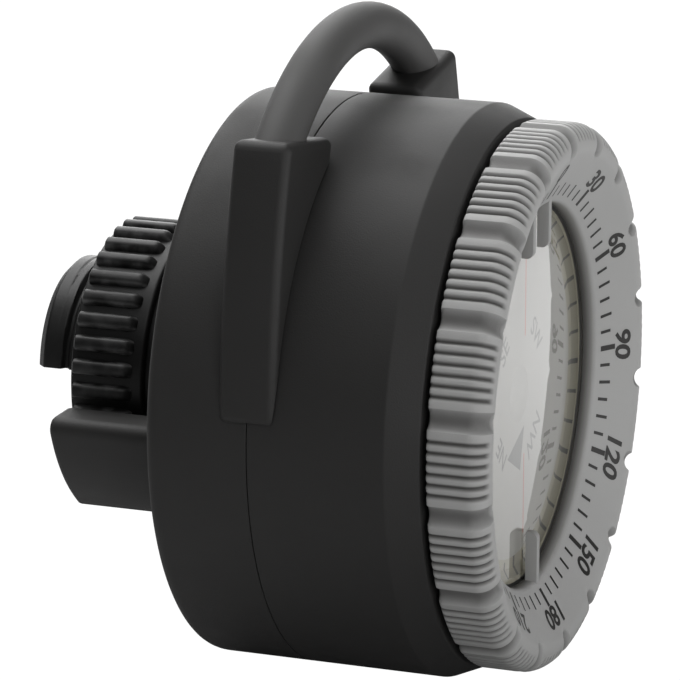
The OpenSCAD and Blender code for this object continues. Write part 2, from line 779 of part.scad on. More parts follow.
module bezel() {
    color("#8f8f8f") facing() {
        difference() {
            intersection() {
                bezel_solid();
                translate([0, 0, bezel_back_z]) linear_extrude(bezel_depth) grip_outline();
            }
            for (i = [0:pad_count - 1]) rotate(90 + i * 360 / pad_count) notch_cutter();
        }
        for (side = [-1, 1]) translate([side * (prong_w + prong_gap) / 2, 0]) prong(gate_reach);
        rotate(180) prong(pointer_reach);
    }
}

module bezel_snap_ring() {
    color("#9b9b98") facing() ring(neck_r - snap_depth + drop_fit, neck_r + snap_depth, snap_z, snap_z + snap_w);
}

rear_case();
carry_loop();
strap_saddle();
threaded_spigot();
reel_axle();
mainspring();
reel_cover();
cover_screws();
cord_eyelet();
cord_lead();
cord_reel();
wound_cord();
clamp_washer();
clamp_nut();
front_boot();
cord_anchor();
capsule_body();
window_seal();
window();
diaphragm();
diaphragm_ring();
fill_plug();
pivot_post();
pivot_needle();
compass_card();
card_hub();
card_magnets();
bezel();
bezel_snap_ring();
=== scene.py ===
"""Looks of the diving compass: finishes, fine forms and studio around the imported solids.

Pieces are drawn face up in millimetres (x right, y up, h in front of the mount face) and are turned into
the row frame, in metres, when they become meshes.
"""

import logging
import math
from dataclasses import dataclass, field
from enum import Enum
from typing import Any, Callable, Iterable, Sequence

import bmesh
import bpy
from mathutils import Matrix, Vector

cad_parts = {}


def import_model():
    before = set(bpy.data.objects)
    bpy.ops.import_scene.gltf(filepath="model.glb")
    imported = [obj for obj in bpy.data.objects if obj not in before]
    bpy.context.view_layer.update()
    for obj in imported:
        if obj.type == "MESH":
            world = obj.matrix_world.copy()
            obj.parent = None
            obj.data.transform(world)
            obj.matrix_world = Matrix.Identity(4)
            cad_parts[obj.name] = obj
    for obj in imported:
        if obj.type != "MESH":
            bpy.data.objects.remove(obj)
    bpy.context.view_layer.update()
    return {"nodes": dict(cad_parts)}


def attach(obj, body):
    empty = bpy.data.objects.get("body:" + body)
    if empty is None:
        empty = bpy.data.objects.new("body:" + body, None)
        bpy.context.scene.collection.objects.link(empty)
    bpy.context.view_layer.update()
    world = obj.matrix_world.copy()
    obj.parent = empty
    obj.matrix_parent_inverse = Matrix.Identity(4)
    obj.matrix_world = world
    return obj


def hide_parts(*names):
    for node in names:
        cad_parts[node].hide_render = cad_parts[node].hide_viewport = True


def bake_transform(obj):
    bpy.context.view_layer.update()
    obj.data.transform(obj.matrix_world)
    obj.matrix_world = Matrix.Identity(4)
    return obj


LOG = logging.getLogger("compass")
MM = 0.001
NO_GAP = 1_000_000
MERGE = 0.001
CREASE = 32.0
AXIS_RADIUS = 0.05
COAT_ROUGHNESS = 0.03
# Colour of dirt and painted shade, darkening the bezel's grooves, notches and opening wall.
DIRT_AND_SHADE_COLOUR = (0.06, 0.058, 0.055, 1.0)

Pair = tuple[float, float]
Triple = tuple[float, float, float]
Colour = tuple[float, float, float, float]
Mesh = bpy.types.Mesh


class Body(Enum):
    """The rigid bodies that pieces ride on."""

    CASE = "case"
    NUT = "nut"
    MODULE = "module"
    CARD = "card"
    BEZEL = "bezel"


class Grain(Enum):
    """Surface patterns that a finish can carry."""

    MOULDED = "moulded"
    SATIN = "satin"
    PRINTED = "printed"
    METAL = "metal"
    BRAID = "braid"
    CLEAR = "clear"


class Value:
    """An output of a node that takes part in Python arithmetic."""

    def __init__(self, nodes: "Nodes", socket: bpy.types.NodeSocket) -> None:
        """Keeps the socket and the tree that new nodes go into."""
        self.nodes = nodes
        self.socket = socket

    def math(self, operation: str, first: Any, second: Any) -> "Value":
        """Adds one Math node.

        Args:
            operation: name of the Math node's operation.
            first: left number or value.
            second: right number or value.

        Returns:
            The node's result.
        """
        return self.nodes.add("ShaderNodeMath", {"operation": operation}, {0: first, 1: second})

    def __add__(self, other: Any) -> "Value":
        """Sum."""
        return self.math("ADD", self, other)

    __radd__ = __add__

    def __sub__(self, other: Any) -> "Value":
        """Difference."""
        return self.math("SUBTRACT", self, other)

    def __rsub__(self, other: Any) -> "Value":
        """Difference from the left."""
        return self.math("SUBTRACT", other, self)

    def __mul__(self, other: Any) -> "Value":
        """Product."""
        return self.math("MULTIPLY", self, other)

    __rmul__ = __mul__

    def __truediv__(self, other: Any) -> "Value":
        """Quotient."""
        return self.math("DIVIDE", self, other)

    def __mod__(self, other: Any) -> "Value":
        """Remainder."""
        return self.math("MODULO", self, other)

    def above(self, level: float) -> "Value":
        """1 where the value is greater than a level, and 0 elsewhere."""
        return self.math("GREATER_THAN", self, level)

    def step(self, low: float, high: float) -> "Value":
        """Soft step from 0 at low to 1 at high.

        Args:
            low: where the step starts.
            high: where it ends.

        Returns:
            The stepped value.
        """
        inputs = {"Value": self, "From Min": low, "From Max": high}
        return self.nodes.add("ShaderNodeMapRange", {"interpolation_type": "SMOOTHSTEP"}, inputs)


class Nodes:
    """A node tree in the making."""

    def __init__(self, tree: bpy.types.NodeTree) -> None:
        """Starts with an empty tree."""
        self.tree = tree
        tree.nodes.clear()

    def feed(self, socket: bpy.types.NodeSocket, value: Any) -> None:
        """Sets a socket to a number, a colour or another node's value.

        Args:
            socket: input to set.
            value: plain value or Value.
        """
        if isinstance(value, Value):
            self.tree.links.new(value.socket, socket)
        else:
            socket.default_value = value

    def add(self, kind: str, settings: dict[str, Any], inputs: dict[Any, Any], output: Any = 0) -> Value:
        """Adds a node.

        Args:
            kind: the node's type.
            settings: the node's own properties, set first.
            inputs: values or links by socket name or place.
            output: name or place of the output that is wanted.

        Returns:
            The output.
        """
        node = self.tree.nodes.new(kind)
        for name, setting in settings.items():
            setattr(node, name, setting)
        for key, value in inputs.items():
            self.feed(node.inputs[key], value)
        return Value(self, node.outputs[output])


class Graph(Nodes):
    """Node graph of one material."""

    def __init__(self, material: bpy.types.Material) -> None:
        """Empties the material's tree and places its shader and output."""
        material.use_nodes = True
        super().__init__(material.node_tree)
        self.output = self.tree.nodes.new("ShaderNodeOutputMaterial")
        self.shader = self.tree.nodes.new("ShaderNodeBsdfPrincipled")
        self.tree.links.new(self.shader.outputs[0], self.output.inputs["Surface"])

    def dress(self, values: dict[str, Any]) -> None:
        """Sets inputs of the shader.

        Args:
            values: numbers, colours or other nodes' values by the input's name.
        """
        for name, value in values.items():
            self.feed(self.shader.inputs[name], value)

    def place(self) -> Value:
        """Object coordinates of the surface."""
        return self.add("ShaderNodeTexCoord", {}, {}, "Object")

    def light_path(self, ray: str) -> Value:
        """1 for rays of one kind, and 0 for all others."""
        return self.add("ShaderNodeLightPath", {}, {}, ray)

    def noise(self, scale: float, detail: float = 3.0, stretch: Triple = (1.0, 1.0, 1.0)) -> Value:
        """Noise in the object's own space.

        Args:
            scale: features per metre.
            detail: number of octaves.
            stretch: scale along each axis.

        Returns:
            Noise from 0 to 1.
        """
        where = self.add("ShaderNodeMapping", {}, {"Vector": self.place(), "Scale": stretch})
        return self.add("ShaderNodeTexNoise", {}, {"Vector": where, "Scale": scale, "Detail": detail})

    def wear(self) -> Value:
        """Wear, dirt and painted shade that the mesh carries at each point."""
        return self.add("ShaderNodeAttribute", {"attribute_name": "wear"}, {}, "Fac")

    def mix(self, share: Any, first: Any, second: Any) -> Value:
        """Blends two colours.

        Args:
            share: part of the second colour.
            first: colour at 0.
            second: colour at 1.

        Returns:
            The blended colour.
        """
        return self.add("ShaderNodeMix", {"data_type": "RGBA"}, {0: share, 6: first, 7: second}, 2)

    def bump(self, height: Value, distance: float, strength: float) -> None:
        """Bumps the surface.

        Args:
            height: pattern of heights.
            distance: height of the pattern in metres.
            strength: share of the bump.
        """
        inputs = {"Height": height, "Distance": distance, "Strength": strength}
        self.dress({"Normal": self.add("ShaderNodeBump", {}, inputs)})


def grey(level: float) -> Colour:
    """Neutral colour of one linear level."""
    return (level, level, level, 1.0)


@dataclass(frozen=True)
class Finish:
    """One finish of the object's surfaces."""

    name: str
    colour: Triple
    roughness: float
    grain: Grain
    accent: Triple = (0.5, 0.5, 0.5)
    metallic: float = 0.0
    specular: float = 0.5
    alpha: float = 1.0
    wear: float = 0.0
    # Share of the dirt and painted shade colour where the mesh's per-point share asks for it.
    dirt: float = 0.0
    ior: float = 1.5
    transmission: float = 0.0
    coat: float = 0.0

    @property
    def base(self) -> Colour:
        """Main colour."""
        return (*self.colour, 1.0)

    @property
    def second(self) -> Colour:
        """Colour of the pattern over the main one."""
        return (*self.accent, 1.0)

    def material(self) -> bpy.types.Material:
        """Builds the finish once and gives it back after that.

        Returns:
            The material.
        """
        found = bpy.data.materials.get(self.name)
        if found:
            return found
        made = bpy.data.materials.new(self.name)
        graph = Graph(made)
        graph.dress({
            "Metallic": self.metallic,
            "Specular IOR Level": self.specular,
            "Alpha": self.alpha,
            "IOR": self.ior,
            "Transmission Weight": self.transmission,
            "Coat Weight": self.coat,
            "Coat Roughness": COAT_ROUGHNESS,
        })
        getattr(self, "_" + self.grain.value)(graph)
        return made

    def _moulded(self, graph: Graph) -> None:
        """Soft moulded skin: fine grain, faint clouds, dust, and dirt with painted shade where the mesh says
        so.

        Args:
            graph: the material's graph.
        """
        cloud = graph.noise(90.0, 4.0).step(0.35, 0.75)
        dust = graph.noise(1400.0, 2.0).step(0.62, 0.78) * 0.25
        grain = graph.noise(5200.0, 2.0)
        tone = graph.mix(cloud * 0.16 + dust * 0.35 + 0.02, self.base, self.second)
        # Dirt and painted shade: darker where the mesh's per-point share is high.
        if self.dirt:
            tone = graph.mix(graph.wear() * self.dirt, tone, DIRT_AND_SHADE_COLOUR)
        graph.dress({"Base Color": tone, "Roughness": self.roughness + 0.1 * cloud - 0.06 * grain})
        graph.bump(grain, 0.000035, 0.55)

    def _satin(self, graph: Graph) -> None:
        """Satin plastic with light wear where the mesh says so.

        Args:
            graph: the material's graph.
        """
        cloud = graph.noise(140.0, 3.0).step(0.3, 0.8)
        speck = graph.noise(2600.0, 3.0)
        tone = graph.mix(cloud * (0.03 if self.wear else 0.2), self.base, self.second)
        if self.wear:
            wear_dirt_and_shade_share = graph.wear() * graph.noise(420.0, 4.0).step(0.36, 0.7) * self.wear
            tone = graph.mix(wear_dirt_and_shade_share, tone, self.second)
        graph.dress({"Base Color": tone, "Roughness": self.roughness + 0.12 * cloud - 0.08 * speck})
        graph.bump(speck, 0.00002, 0.5)

    def _printed(self, graph: Graph) -> None:
        """Printed or painted skin with a faint unevenness.

        Args:
            graph: the material's graph.
        """
        patch = graph.noise(700.0, 4.0).step(0.4, 0.8)
        tone = graph.mix(patch * 0.14, self.base, self.second)
        graph.dress({"Base Color": tone, "Roughness": self.roughness + 0.08 * patch})

    def _metal(self, graph: Graph) -> None:
        """Drawn metal with fine scratches along its run.

        Args:
            graph: the material's graph.
        """
        scratch = graph.noise(2200.0, 3.0, (1.0, 0.08, 1.0))
        tone = graph.mix(scratch * 0.3, self.base, self.second)
        graph.dress({"Base Color": tone, "Roughness": self.roughness + 0.18 * scratch})

    def _clear(self, graph: Graph) -> None:
        """Clear pane that bends what is seen through it and lets the lamps' light in.

        Args:
            graph: the material's graph.
        """
        alpha = self.alpha * (1 - graph.light_path("Is Shadow Ray"))
        graph.dress({"Base Color": self.base, "Roughness": self.roughness, "Alpha": alpha})

    def _braid(self, graph: Graph) -> None:
        """Fine braid of a cord.

        Args:
            graph: the material's graph.
        """
        bands = {"wave_type": "BANDS", "bands_direction": "DIAGONAL"}
        inputs = {"Vector": graph.place(), "Scale": 700.0, "Distortion": 1.5}
        strand = graph.add("ShaderNodeTexWave", bands, inputs)
        height = graph.add("ShaderNodeRGBToBW", {}, {0: strand})
        tone = graph.mix(height * 0.5, self.base, self.second)
        graph.dress({"Base Color": tone, "Roughness": self.roughness + 0.1 * height})


@dataclass(frozen=True)
class Finishes:
    """All finishes of the object."""

    shell: Finish = Finish(
        "black_shell_skin", (0.022, 0.0215, 0.021), 0.6, Grain.MOULDED, (0.036, 0.035, 0.034), specular=0.4
    )
    loop: Finish = Finish("black_loop_skin", (0.075, 0.074, 0.073), 0.66, Grain.MOULDED, (0.11, 0.109, 0.108))
    clamp: Finish = Finish(
        "black_clamp_satin", (0.007,) * 3, 0.42, Grain.SATIN, (0.17,) * 3, wear=0.9, specular=0.32
    )
    inner: Finish = Finish("dark_inner_satin", (0.06, 0.06, 0.058), 0.48, Grain.SATIN, (0.11, 0.11, 0.105))
    # The bezel carries dirt and painted shade in its cuts and on its opening wall.
    bezel: Finish = Finish(
        "grey_bezel_skin", (0.43, 0.43, 0.425), 0.56, Grain.MOULDED, (0.51, 0.51, 0.505), dirt=0.95
    )
    gate: Finish = Finish("grey_gate_satin", (0.38, 0.38, 0.376), 0.5, Grain.SATIN, (0.46, 0.46, 0.455))
    card: Finish = Finish("white_card_print", (0.36, 0.355, 0.332), 0.6, Grain.PRINTED, (0.32, 0.315, 0.29))
    rim: Finish = Finish("tan_rim_print", (0.29, 0.272, 0.2), 0.6, Grain.PRINTED, (0.35, 0.325, 0.25))
    ink: Finish = Finish("black_ink", (0.012, 0.011, 0.010), 0.5, Grain.PRINTED, (0.03, 0.028, 0.026))
    faint: Finish = Finish("grey_ink", (0.1, 0.097, 0.092), 0.55, Grain.PRINTED, (0.14, 0.135, 0.13))
    line: Finish = Finish("red_line", (0.42, 0.09, 0.06), 0.5, Grain.PRINTED, (0.5, 0.14, 0.1))
    seal: Finish = Finish("khaki_seal_skin", (0.12, 0.11, 0.085), 0.6, Grain.MOULDED, (0.17, 0.155, 0.12))
    steel: Finish = Finish("drawn_steel", (0.5, 0.5, 0.49), 0.3, Grain.METAL, (0.62, 0.62, 0.6), metallic=1.0)
    brass: Finish = Finish("drawn_brass", (0.6, 0.46, 0.2), 0.3, Grain.METAL, (0.7, 0.57, 0.3), metallic=1.0)
    cord: Finish = Finish("black_cord_braid", (0.035, 0.035, 0.034), 0.7, Grain.BRAID, (0.11, 0.11, 0.105))
    window: Finish = Finish(
        "clear_window_face", (1.0, 1.0, 1.0), 0.0, Grain.CLEAR, ior=1.4, transmission=1.0, coat=1.0
    )
    inside: Finish = Finish("clear_window_inside", (1.0, 1.0, 1.0), 0.0, Grain.CLEAR, alpha=0.0)


FINISH = Finishes()


def placed(name: str, data: Any) -> bpy.types.Object:
    """Puts an object in the scene.

    Args:
        name: the object's name.
        data: its mesh, curve, lamp or camera.

    Returns:
        The object.
    """
    made = bpy.data.objects.new(name, data)
    bpy.context.scene.collection.objects.link(made)
    return made


def settled(holder: bpy.types.Object) -> Mesh:
    """Mesh of an object with its modifiers applied, in place of the object.

    Args:
        holder: object that is taken out of the scene.

    Returns:
        The mesh.
    """
    graph = bpy.context.evaluated_depsgraph_get()
    graph.update()
    mesh = bpy.data.meshes.new_from_object(holder.evaluated_get(graph), depsgraph=graph)
    bpy.data.objects.remove(holder)
    return mesh


def in_frame(x: float, y: float, h: float) -> Triple:
    """Point in the row frame, in metres, of a point that is face up in millimetres."""
    return (x * MM, -h * MM, y * MM)


def shade(mesh: Mesh, crease: float) -> None:
    """Shades a mesh smoothly, apart from edges sharper than an angle in degrees."""
    for polygon in mesh.polygons:
        polygon.use_smooth = True
    mesh.set_sharp_from_angle(angle=math.radians(crease))


class Piece:
    """A mesh in the making, face up and in millimetres."""

    def __init__(self) -> None:
        """Starts with no points and no faces."""
        self.points: list[Triple] = []
        self.faces: list[tuple[int, ...]] = []
        # Per-point share of wear, dirt and painted shade, by point index.
        self.wear: dict[int, float] = {}

    def grid(self, rows: Sequence[Sequence[Triple]], closed_u: bool = False, closed_v: bool = False) -> int:
        """Adds a sheet of quads.

        Args:
            rows: rows of points, all of one length.
            closed_u: whether the last row joins the first.
            closed_v: whether each row's end joins its start.

        Returns:
            Index of the sheet's first point.
        """
        start = len(self.points)
        wide, tall = len(rows[0]), len(rows)
        for row in rows:
            self.points.extend(row)
        for u in range(tall if closed_u else tall - 1):
            here = start + u * wide
            there = start + ((u + 1) % tall) * wide
            for v in range(wide if closed_v else wide - 1):
                following = (v + 1) % wide
                self.faces.append((here + v, here + following, there + following, there + v))
        return start

    def cap(self, indices: Iterable[int]) -> None:
        """Closes a loop of points with one face."""
        self.faces.append(tuple(indices))

    def tube(self, rows: Sequence[Sequence[Triple]]) -> None:
        """Adds a closed bar: a skin over rings of points, and both ends.

        Args:
            rows: rings of points, all of one length.
        """
        wide = len(rows[0])
        start = self.grid(rows, closed_v=True)
        last = start + (len(rows) - 1) * wide
        self.cap(range(start, start + wide))
        self.cap(range(last, last + wide))

    def turned(self, profile: Sequence[Pair], steps: int = 240, centre: Pair = (0.0, 0.0)) -> None:
        """Revolves a profile about the compass axis or a line beside it.

        Args:
            profile: closed run of (radius, height) points.
            steps: number of sides.
            centre: x and y of the axis.
        """
        rows = []
        for i in range(steps):
            a = 2 * math.pi * i / steps
            rows.append([(centre[0] + r * math.cos(a), centre[1] + r * math.sin(a), h) for r, h in profile])
        self.grid(rows, closed_u=True, closed_v=True)

    def soft_turned(self, corners: Sequence[Triple], steps: int = 240, chords: int = 5) -> None:
        """Revolves a profile with rounded corners about the compass axis.

        Args:
            corners: radius, height and rounding of each corner of the closed profile.
            steps: number of sides.
            chords: chords in each rounded corner.
        """
        profile: list[Pair] = []
        for i, (x, y, radius) in enumerate(corners):
            if radius <= 0:
                profile.append((x, y))
                continue
            here = Vector((x, y))
            before = (Vector(corners[i - 1][:2]) - here).normalized()
            after = (Vector(corners[(i + 1) % len(corners)][:2]) - here).normalized()
            reach = radius / math.tan(before.angle(after) / 2)
            start = here + before * reach
            end = here + after * reach
            for k in range(chords + 1):
                t = k / chords
                spot = start * (1 - t) ** 2 + here * (2 * t * (1 - t)) + end * t**2
                profile.append((spot.x, spot.y))
        self.turned(profile, steps)

    def mesh(self, name: str, merge: float = MERGE, crease: float = CREASE) -> Mesh:
        """Makes the mesh in the row frame.

        Args:
            name: the mesh's name.
            merge: points closer than this many millimetres become one.
            crease: edges sharper than this angle in degrees stay sharp.

        Returns:
            The mesh, with its faces pointing out.
        """
        made = bpy.data.meshes.new(name)
        made.from_pydata([in_frame(*point) for point in self.points], [], self.faces)
        if self.wear:
            # Per-point layer: wear on the nut's ribs, dirt and painted shade on the bezel.
            wear_dirt_and_shade_share = made.attributes.new("wear", "FLOAT", "POINT")
            for index, amount in self.wear.items():
                wear_dirt_and_shade_share.data[index].value = amount
        tidy_mesh(made, merge, crease)
        return made


def tidy_mesh(mesh: Mesh, merge: float, crease: float) -> None:
    """Merges doubles, turns faces outwards and shades by angle.

    Args:
        mesh: mesh to tidy, in metres.
        merge: merging distance in millimetres.
        crease: angle in degrees above which an edge stays sharp.
    """
    work = bmesh.new()
    work.from_mesh(mesh)
    bmesh.ops.remove_doubles(work, verts=work.verts, dist=merge * MM)
    bmesh.ops.dissolve_degenerate(work, edges=work.edges, dist=merge * MM * 0.5)
    bmesh.ops.recalc_face_normals(work, faces=work.faces)
    work.to_mesh(mesh)
    work.free()
    shade(mesh, crease)
    mesh.update()


def face_front(mesh: Mesh) -> Mesh:
    """Turns the faces of a flat print towards the viewer of the dial, and gives it back."""
    mesh.update()
    work = bmesh.new()
    work.from_mesh(mesh)
    bmesh.ops.reverse_faces(work, faces=[face for face in work.faces if face.normal.y > 0])
    work.to_mesh(mesh)
    work.free()
    return mesh


def show(mesh: Mesh, name: str, finish: Finish, body: Body, slot: str, *nodes: str) -> None:
    """Puts a mesh in the scene on its body.

    Args:
        mesh: the piece's mesh, in the row frame.
        name: the piece's name.
        finish: its finish.
        body: the body that it rides on.
        slot: the record's material slot; not used.
        nodes: CAD nodes that it stands for.
    """
    piece = placed(name, mesh)
    if not mesh.materials:
        mesh.materials.append(finish.material())
    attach(piece, body.value)
    if nodes:
        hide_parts(*nodes)
    LOG.info("%s: %d faces on %s", name, len(mesh.polygons), body.value)


def arc(centre: Pair, radius: float, start: float, end: float, steps: int) -> list[Pair]:
    """Points of an arc.

    Args:
        centre: centre of the arc.
        radius: its radius.
        start: first angle in degrees.
        end: last angle in degrees.
        steps: number of chords.

    Returns:
        The points, both ends among them.
    """
    turn = [math.radians(start + (end - start) * i / steps) for i in range(steps + 1)]
    return [(centre[0] + radius * math.cos(a), centre[1] + radius * math.sin(a)) for a in turn]


class RingTree:
    """Geometry Nodes tree that sets copies of a piece round the compass axis."""

    NAME = "ring_of_copies"
    SOCKETS = (
        ("Piece", "INPUT", "Geometry"),
        ("Count", "INPUT", "Int"),
        ("Gap Every", "INPUT", "Int"),
        ("Start Angle", "INPUT", "Float"),
        ("Merge Distance", "INPUT", "Float"),
        ("Finish", "INPUT", "Material"),
        ("Ring", "OUTPUT", "Geometry"),
    )

    def __init__(self) -> None:
        """Builds the tree once."""
        self.tree = bpy.data.node_groups.get(self.NAME) or self._build()

    def _build(self) -> bpy.types.NodeTree:
        """Makes the tree with its named inputs.

        Returns:
            The tree.
        """
        tree = bpy.data.node_groups.new(self.NAME, "GeometryNodeTree")
        for name, way, kind in self.SOCKETS:
            tree.interface.new_socket(name, in_out=way, socket_type="NodeSocket" + kind)
        nodes = Nodes(tree)
        piece, count, gap, start, merge, finish = (
            nodes.add("NodeGroupInput", {}, {}, name) for name, way, _ in self.SOCKETS if way == "INPUT"
        )
        place = nodes.add("GeometryNodeInputIndex", {}, {}) + 1.0
        kept = (place % gap).above(0.5)
        angle = place / count * (2 * math.pi) + start
        turn = nodes.add("FunctionNodeAxisAngleToRotation", {}, {"Axis": (0.0, 1.0, 0.0), "Angle": angle})
        points = nodes.add("GeometryNodePoints", {}, {"Count": count})
        inputs = {"Points": points, "Selection": kept, "Instance": piece, "Rotation": turn}
        copies = nodes.add("GeometryNodeInstanceOnPoints", {}, inputs)
        whole = nodes.add("GeometryNodeRealizeInstances", {}, {"Geometry": copies})
        merged = nodes.add("GeometryNodeMergeByDistance", {}, {"Geometry": whole, "Distance": merge})
        dressed = nodes.add("GeometryNodeSetMaterial", {}, {"Geometry": merged, "Material": finish})
        nodes.feed(tree.nodes.new("NodeGroupOutput").inputs[0], dressed)
        return tree

    def apply(
        self,
        mesh: Mesh,
        finish: Finish,
        count: int,
        gap_every: int = NO_GAP,
        start: float = 0.0,
        merge: float = 0.0,
        crease: float = CREASE,
    ) -> Mesh:
        """Sets copies of a mesh round the axis.

        Args:
            mesh: one copy, in its first place.
            finish: finish of the ring.
            count: number of places on the ring.
            gap_every: places that are multiples of this stay empty.
            start: turn of the whole ring in degrees, clockwise seen from the face.
            merge: merging distance between copies in millimetres.
            crease: angle in degrees above which an edge stays sharp.

        Returns:
            The whole ring as a plain mesh.
        """
        holder = placed(mesh.name + "_ring", mesh)
        modifier = holder.modifiers.new("ring", "NODES")
        modifier.node_group = self.tree
        values = {
            "Count": count,
            "Gap Every": gap_every,
            "Start Angle": math.radians(start),
            "Merge Distance": merge * MM,
            "Finish": finish.material(),
        }
        for item in self.tree.interface.items_tree:
            if item.name in values:
                modifier[item.identifier] = values[item.name]
        ring = settled(holder)
        shade(ring, crease)
        return ring


def cut(mesh: Mesh, cutter: Mesh) -> Mesh:
    """Takes a shape out of a mesh.

    Args:
        mesh: closed mesh to cut.
        cutter: closed mesh to take away.

    Returns:
        What is left.
    """
    holder = placed("cut_piece", mesh)
    tool = placed("cut_tool", cutter)
    modifier = holder.modifiers.new("cut", "BOOLEAN")
    modifier.operation = "DIFFERENCE"
    modifier.solver = "EXACT"
    modifier.object = tool
    left = settled(holder)
    bpy.data.objects.remove(tool)
    return left


def join(name: str, meshes: Sequence[Mesh]) -> Mesh:
    """Puts several meshes into one, with their materials and attributes.

    Args:
        name: name of the new mesh.
        meshes: meshes to join.

    Returns:
        The joined mesh.
    """
    work = bmesh.new()
    materials: list[bpy.types.Material] = []
    for mesh in meshes:
        first = len(work.faces)
        work.from_mesh(mesh)
        work.faces.ensure_lookup_table()
        places = []
        for material in mesh.materials:
            if material not in materials:
                materials.append(material)
            places.append(materials.index(material))
        for face in work.faces[first:]:
            face.material_index = places[face.material_index] if places else 0
    made = bpy.data.meshes.new(name)
    work.to_mesh(made)
    work.free()
    for material in materials:
        made.materials.append(material)
    return made


@dataclass
class Drum:
    """Both shells, with the lugs on the rear one."""

    radius: float = 35.0
    inner: float = 32.8
    rear_edge: float = 1.8
    rear_wall: float = 2.4
    seam: float = 12.9
    seam_gap: float = 0.08
    seam_edge: float = 0.14
    boot_back: float = 2.0
    lip: float = 33.4
    lip_length: float = 3.8
    lip_in: float = 1.65
    lip_inner: float = 30.7
    lip_thick: float = 0.7
    stem: float = 8.0
    anchor: Pair = (0.0, -27.0)
    anchor_radius: float = 1.55
    lug_back: float = 9.4
    lug_width: float = 7.1
    lug_thick: float = 14.6
    lug_top: float = 35.8
    lug_foot: float = 3.4
    lug_proud: float = 0.4
    lug_lean: float = 9.0
    lug_flank: float = 118.0
    lug_edge: float = 1.1
    lug_inner: float = 33.9
    lug_levels: int = 30
    dock: float = 35.3
    crease: float = 24.0

    @property
    def case_rim(self) -> float:
        """Height of the rear shell's rim."""
        return self.seam - self.seam_gap

    def build(self) -> None:
        """Makes the boot and the case."""
        self.boot()
        self.case()

    def boot(self) -> None:
        """Front shell with its tapered lip and the cord's hole."""
        shell = Piece()
        floor = self.seam + self.boot_back
        ledge = self.lip - self.lip_thick
        shell.soft_turned([
            (AXIS_RADIUS, self.seam, 0),
            (self.radius, self.seam, self.seam_edge),
            (self.radius, self.lip - self.lip_length, 1.0),
            (self.radius - self.lip_in, self.lip, 0.35),
            (self.lip_inner, self.lip, 0.2),
            (self.lip_inner, ledge, 0),
            (self.inner, ledge, 0),
            (self.inner, floor, 0),
            (AXIS_RADIUS, floor, 0),
        ])
        hole = Piece()
        low, high = self.seam - 1.0, floor + 1.0
        bore = self.anchor_radius
        hole.turned([(0.001, low), (bore, low), (bore, high), (0.001, high)], 48, self.anchor)
        mesh = cut(shell.mesh("boot_shell"), hole.mesh("cord_hole"))
        tidy_mesh(mesh, 2 * MERGE, self.crease)
        show(mesh, "boot_shell", FINISH.shell, Body.MODULE, "shell_rubber", "front_boot")

    def case(self) -> None:
        """Rear shell and its two lugs."""
        shell = Piece()
        corners = [
            (self.stem, 0.0, 0),
            (self.radius, 0.0, self.rear_edge),
            (self.radius, self.case_rim, self.seam_edge),
            (self.inner, self.case_rim, 0.2),
            (self.inner, self.rear_wall, 0),
            (self.stem, self.rear_wall, 0),
        ]
        shell.soft_turned(corners, chords=8)
        mesh = join("case_shell", [shell.mesh("case_wall", crease=self.crease), self.lug(1), self.lug(-1)])
        show(mesh, "case_shell", FINISH.shell, Body.CASE, "shell_rubber", "rear_case")

    def flank(self, y: float) -> float:
        """Distance of a lug's outer face from the axis plane at a height."""
        return self.radius + self.lug_proud - self.lug_flank + math.sqrt(self.lug_flank**2 - y**2)

    def lug(self, side: int) -> Mesh:
        """One lug: a soft-edged block bent along the drum's flank, hollowed where the boot docks.

        Args:
            side: 1 on the right, -1 on the left.

        Returns:
            The lug's mesh.
        """
        tall = self.lug_top - self.lug_foot
        work = bmesh.new()
        bmesh.ops.create_cube(work, size=1.0)
        for vert in work.verts:
            x, y, z = vert.co
            vert.co = ((x + 0.5) * self.lug_thick, (y + 0.5) * tall, (z + 0.5) * self.lug_width)
        bmesh.ops.bevel(
            work, geom=work.edges[:], offset=self.lug_edge, segments=5, profile=0.5, affect="EDGES"
        )
        for k in range(1, self.lug_levels):
            everything = work.verts[:] + work.edges[:] + work.faces[:]
            level = (0, tall * k / self.lug_levels, 0)
            bmesh.ops.bisect_plane(work, geom=everything, plane_co=level, plane_no=(0, 1, 0))
        lean = math.tan(math.radians(self.lug_lean))
        for vert in work.verts:
            deep, up, wide = vert.co
            y = self.lug_foot + up - deep * lean * up / tall
            x = self.flank(self.lug_foot + up) - deep
            vert.co = in_frame(side * x, y, self.lug_back + wide)
        block = bpy.data.meshes.new("lug_block")
        bmesh.ops.recalc_face_normals(work, faces=work.faces)
        work.to_mesh(block)
        work.free()
        hollow = Piece()
        axis, far_back, far_front, rim = 0.01, -5.0, 40.0, self.case_rim
        hollow.turned([
            (axis, far_back), (self.lug_inner, far_back), (self.lug_inner, rim),
            (self.dock, rim), (self.dock, far_front), (axis, far_front),
        ])
        left = cut(block, hollow.mesh("lug_hollow"))
        tidy_mesh(left, 2 * MERGE, 34)
        return left


@dataclass
class Loop:
    """Soft carry loop over the drum."""

    bar: float = 2.85
    reach: float = 37.1
    centre: float = 6.25
    height: float = 12.95
    half_angle: float = 45.7
    steps: int = 96
    sides: int = 40

    def build(self) -> None:
        """Makes the loop's round bar from lug to lug."""
        rows = []
        for i in range(self.steps + 1):
            a = math.radians(90 - self.half_angle + 2 * self.half_angle * i / self.steps)
            ring = []
            for k in range(self.sides):
                b = 2 * math.pi * k / self.sides
                r = self.reach + self.bar * math.cos(b)
                h = self.height + self.bar * math.sin(b)
                ring.append((r * math.cos(a), self.centre + r * math.sin(a), h))
            rows.append(ring)
        bar = Piece()
        bar.tube(rows)
        show(bar.mesh("loop_bar"), "loop_bar", FINISH.loop, Body.CASE, "loop_rubber", "carry_loop")


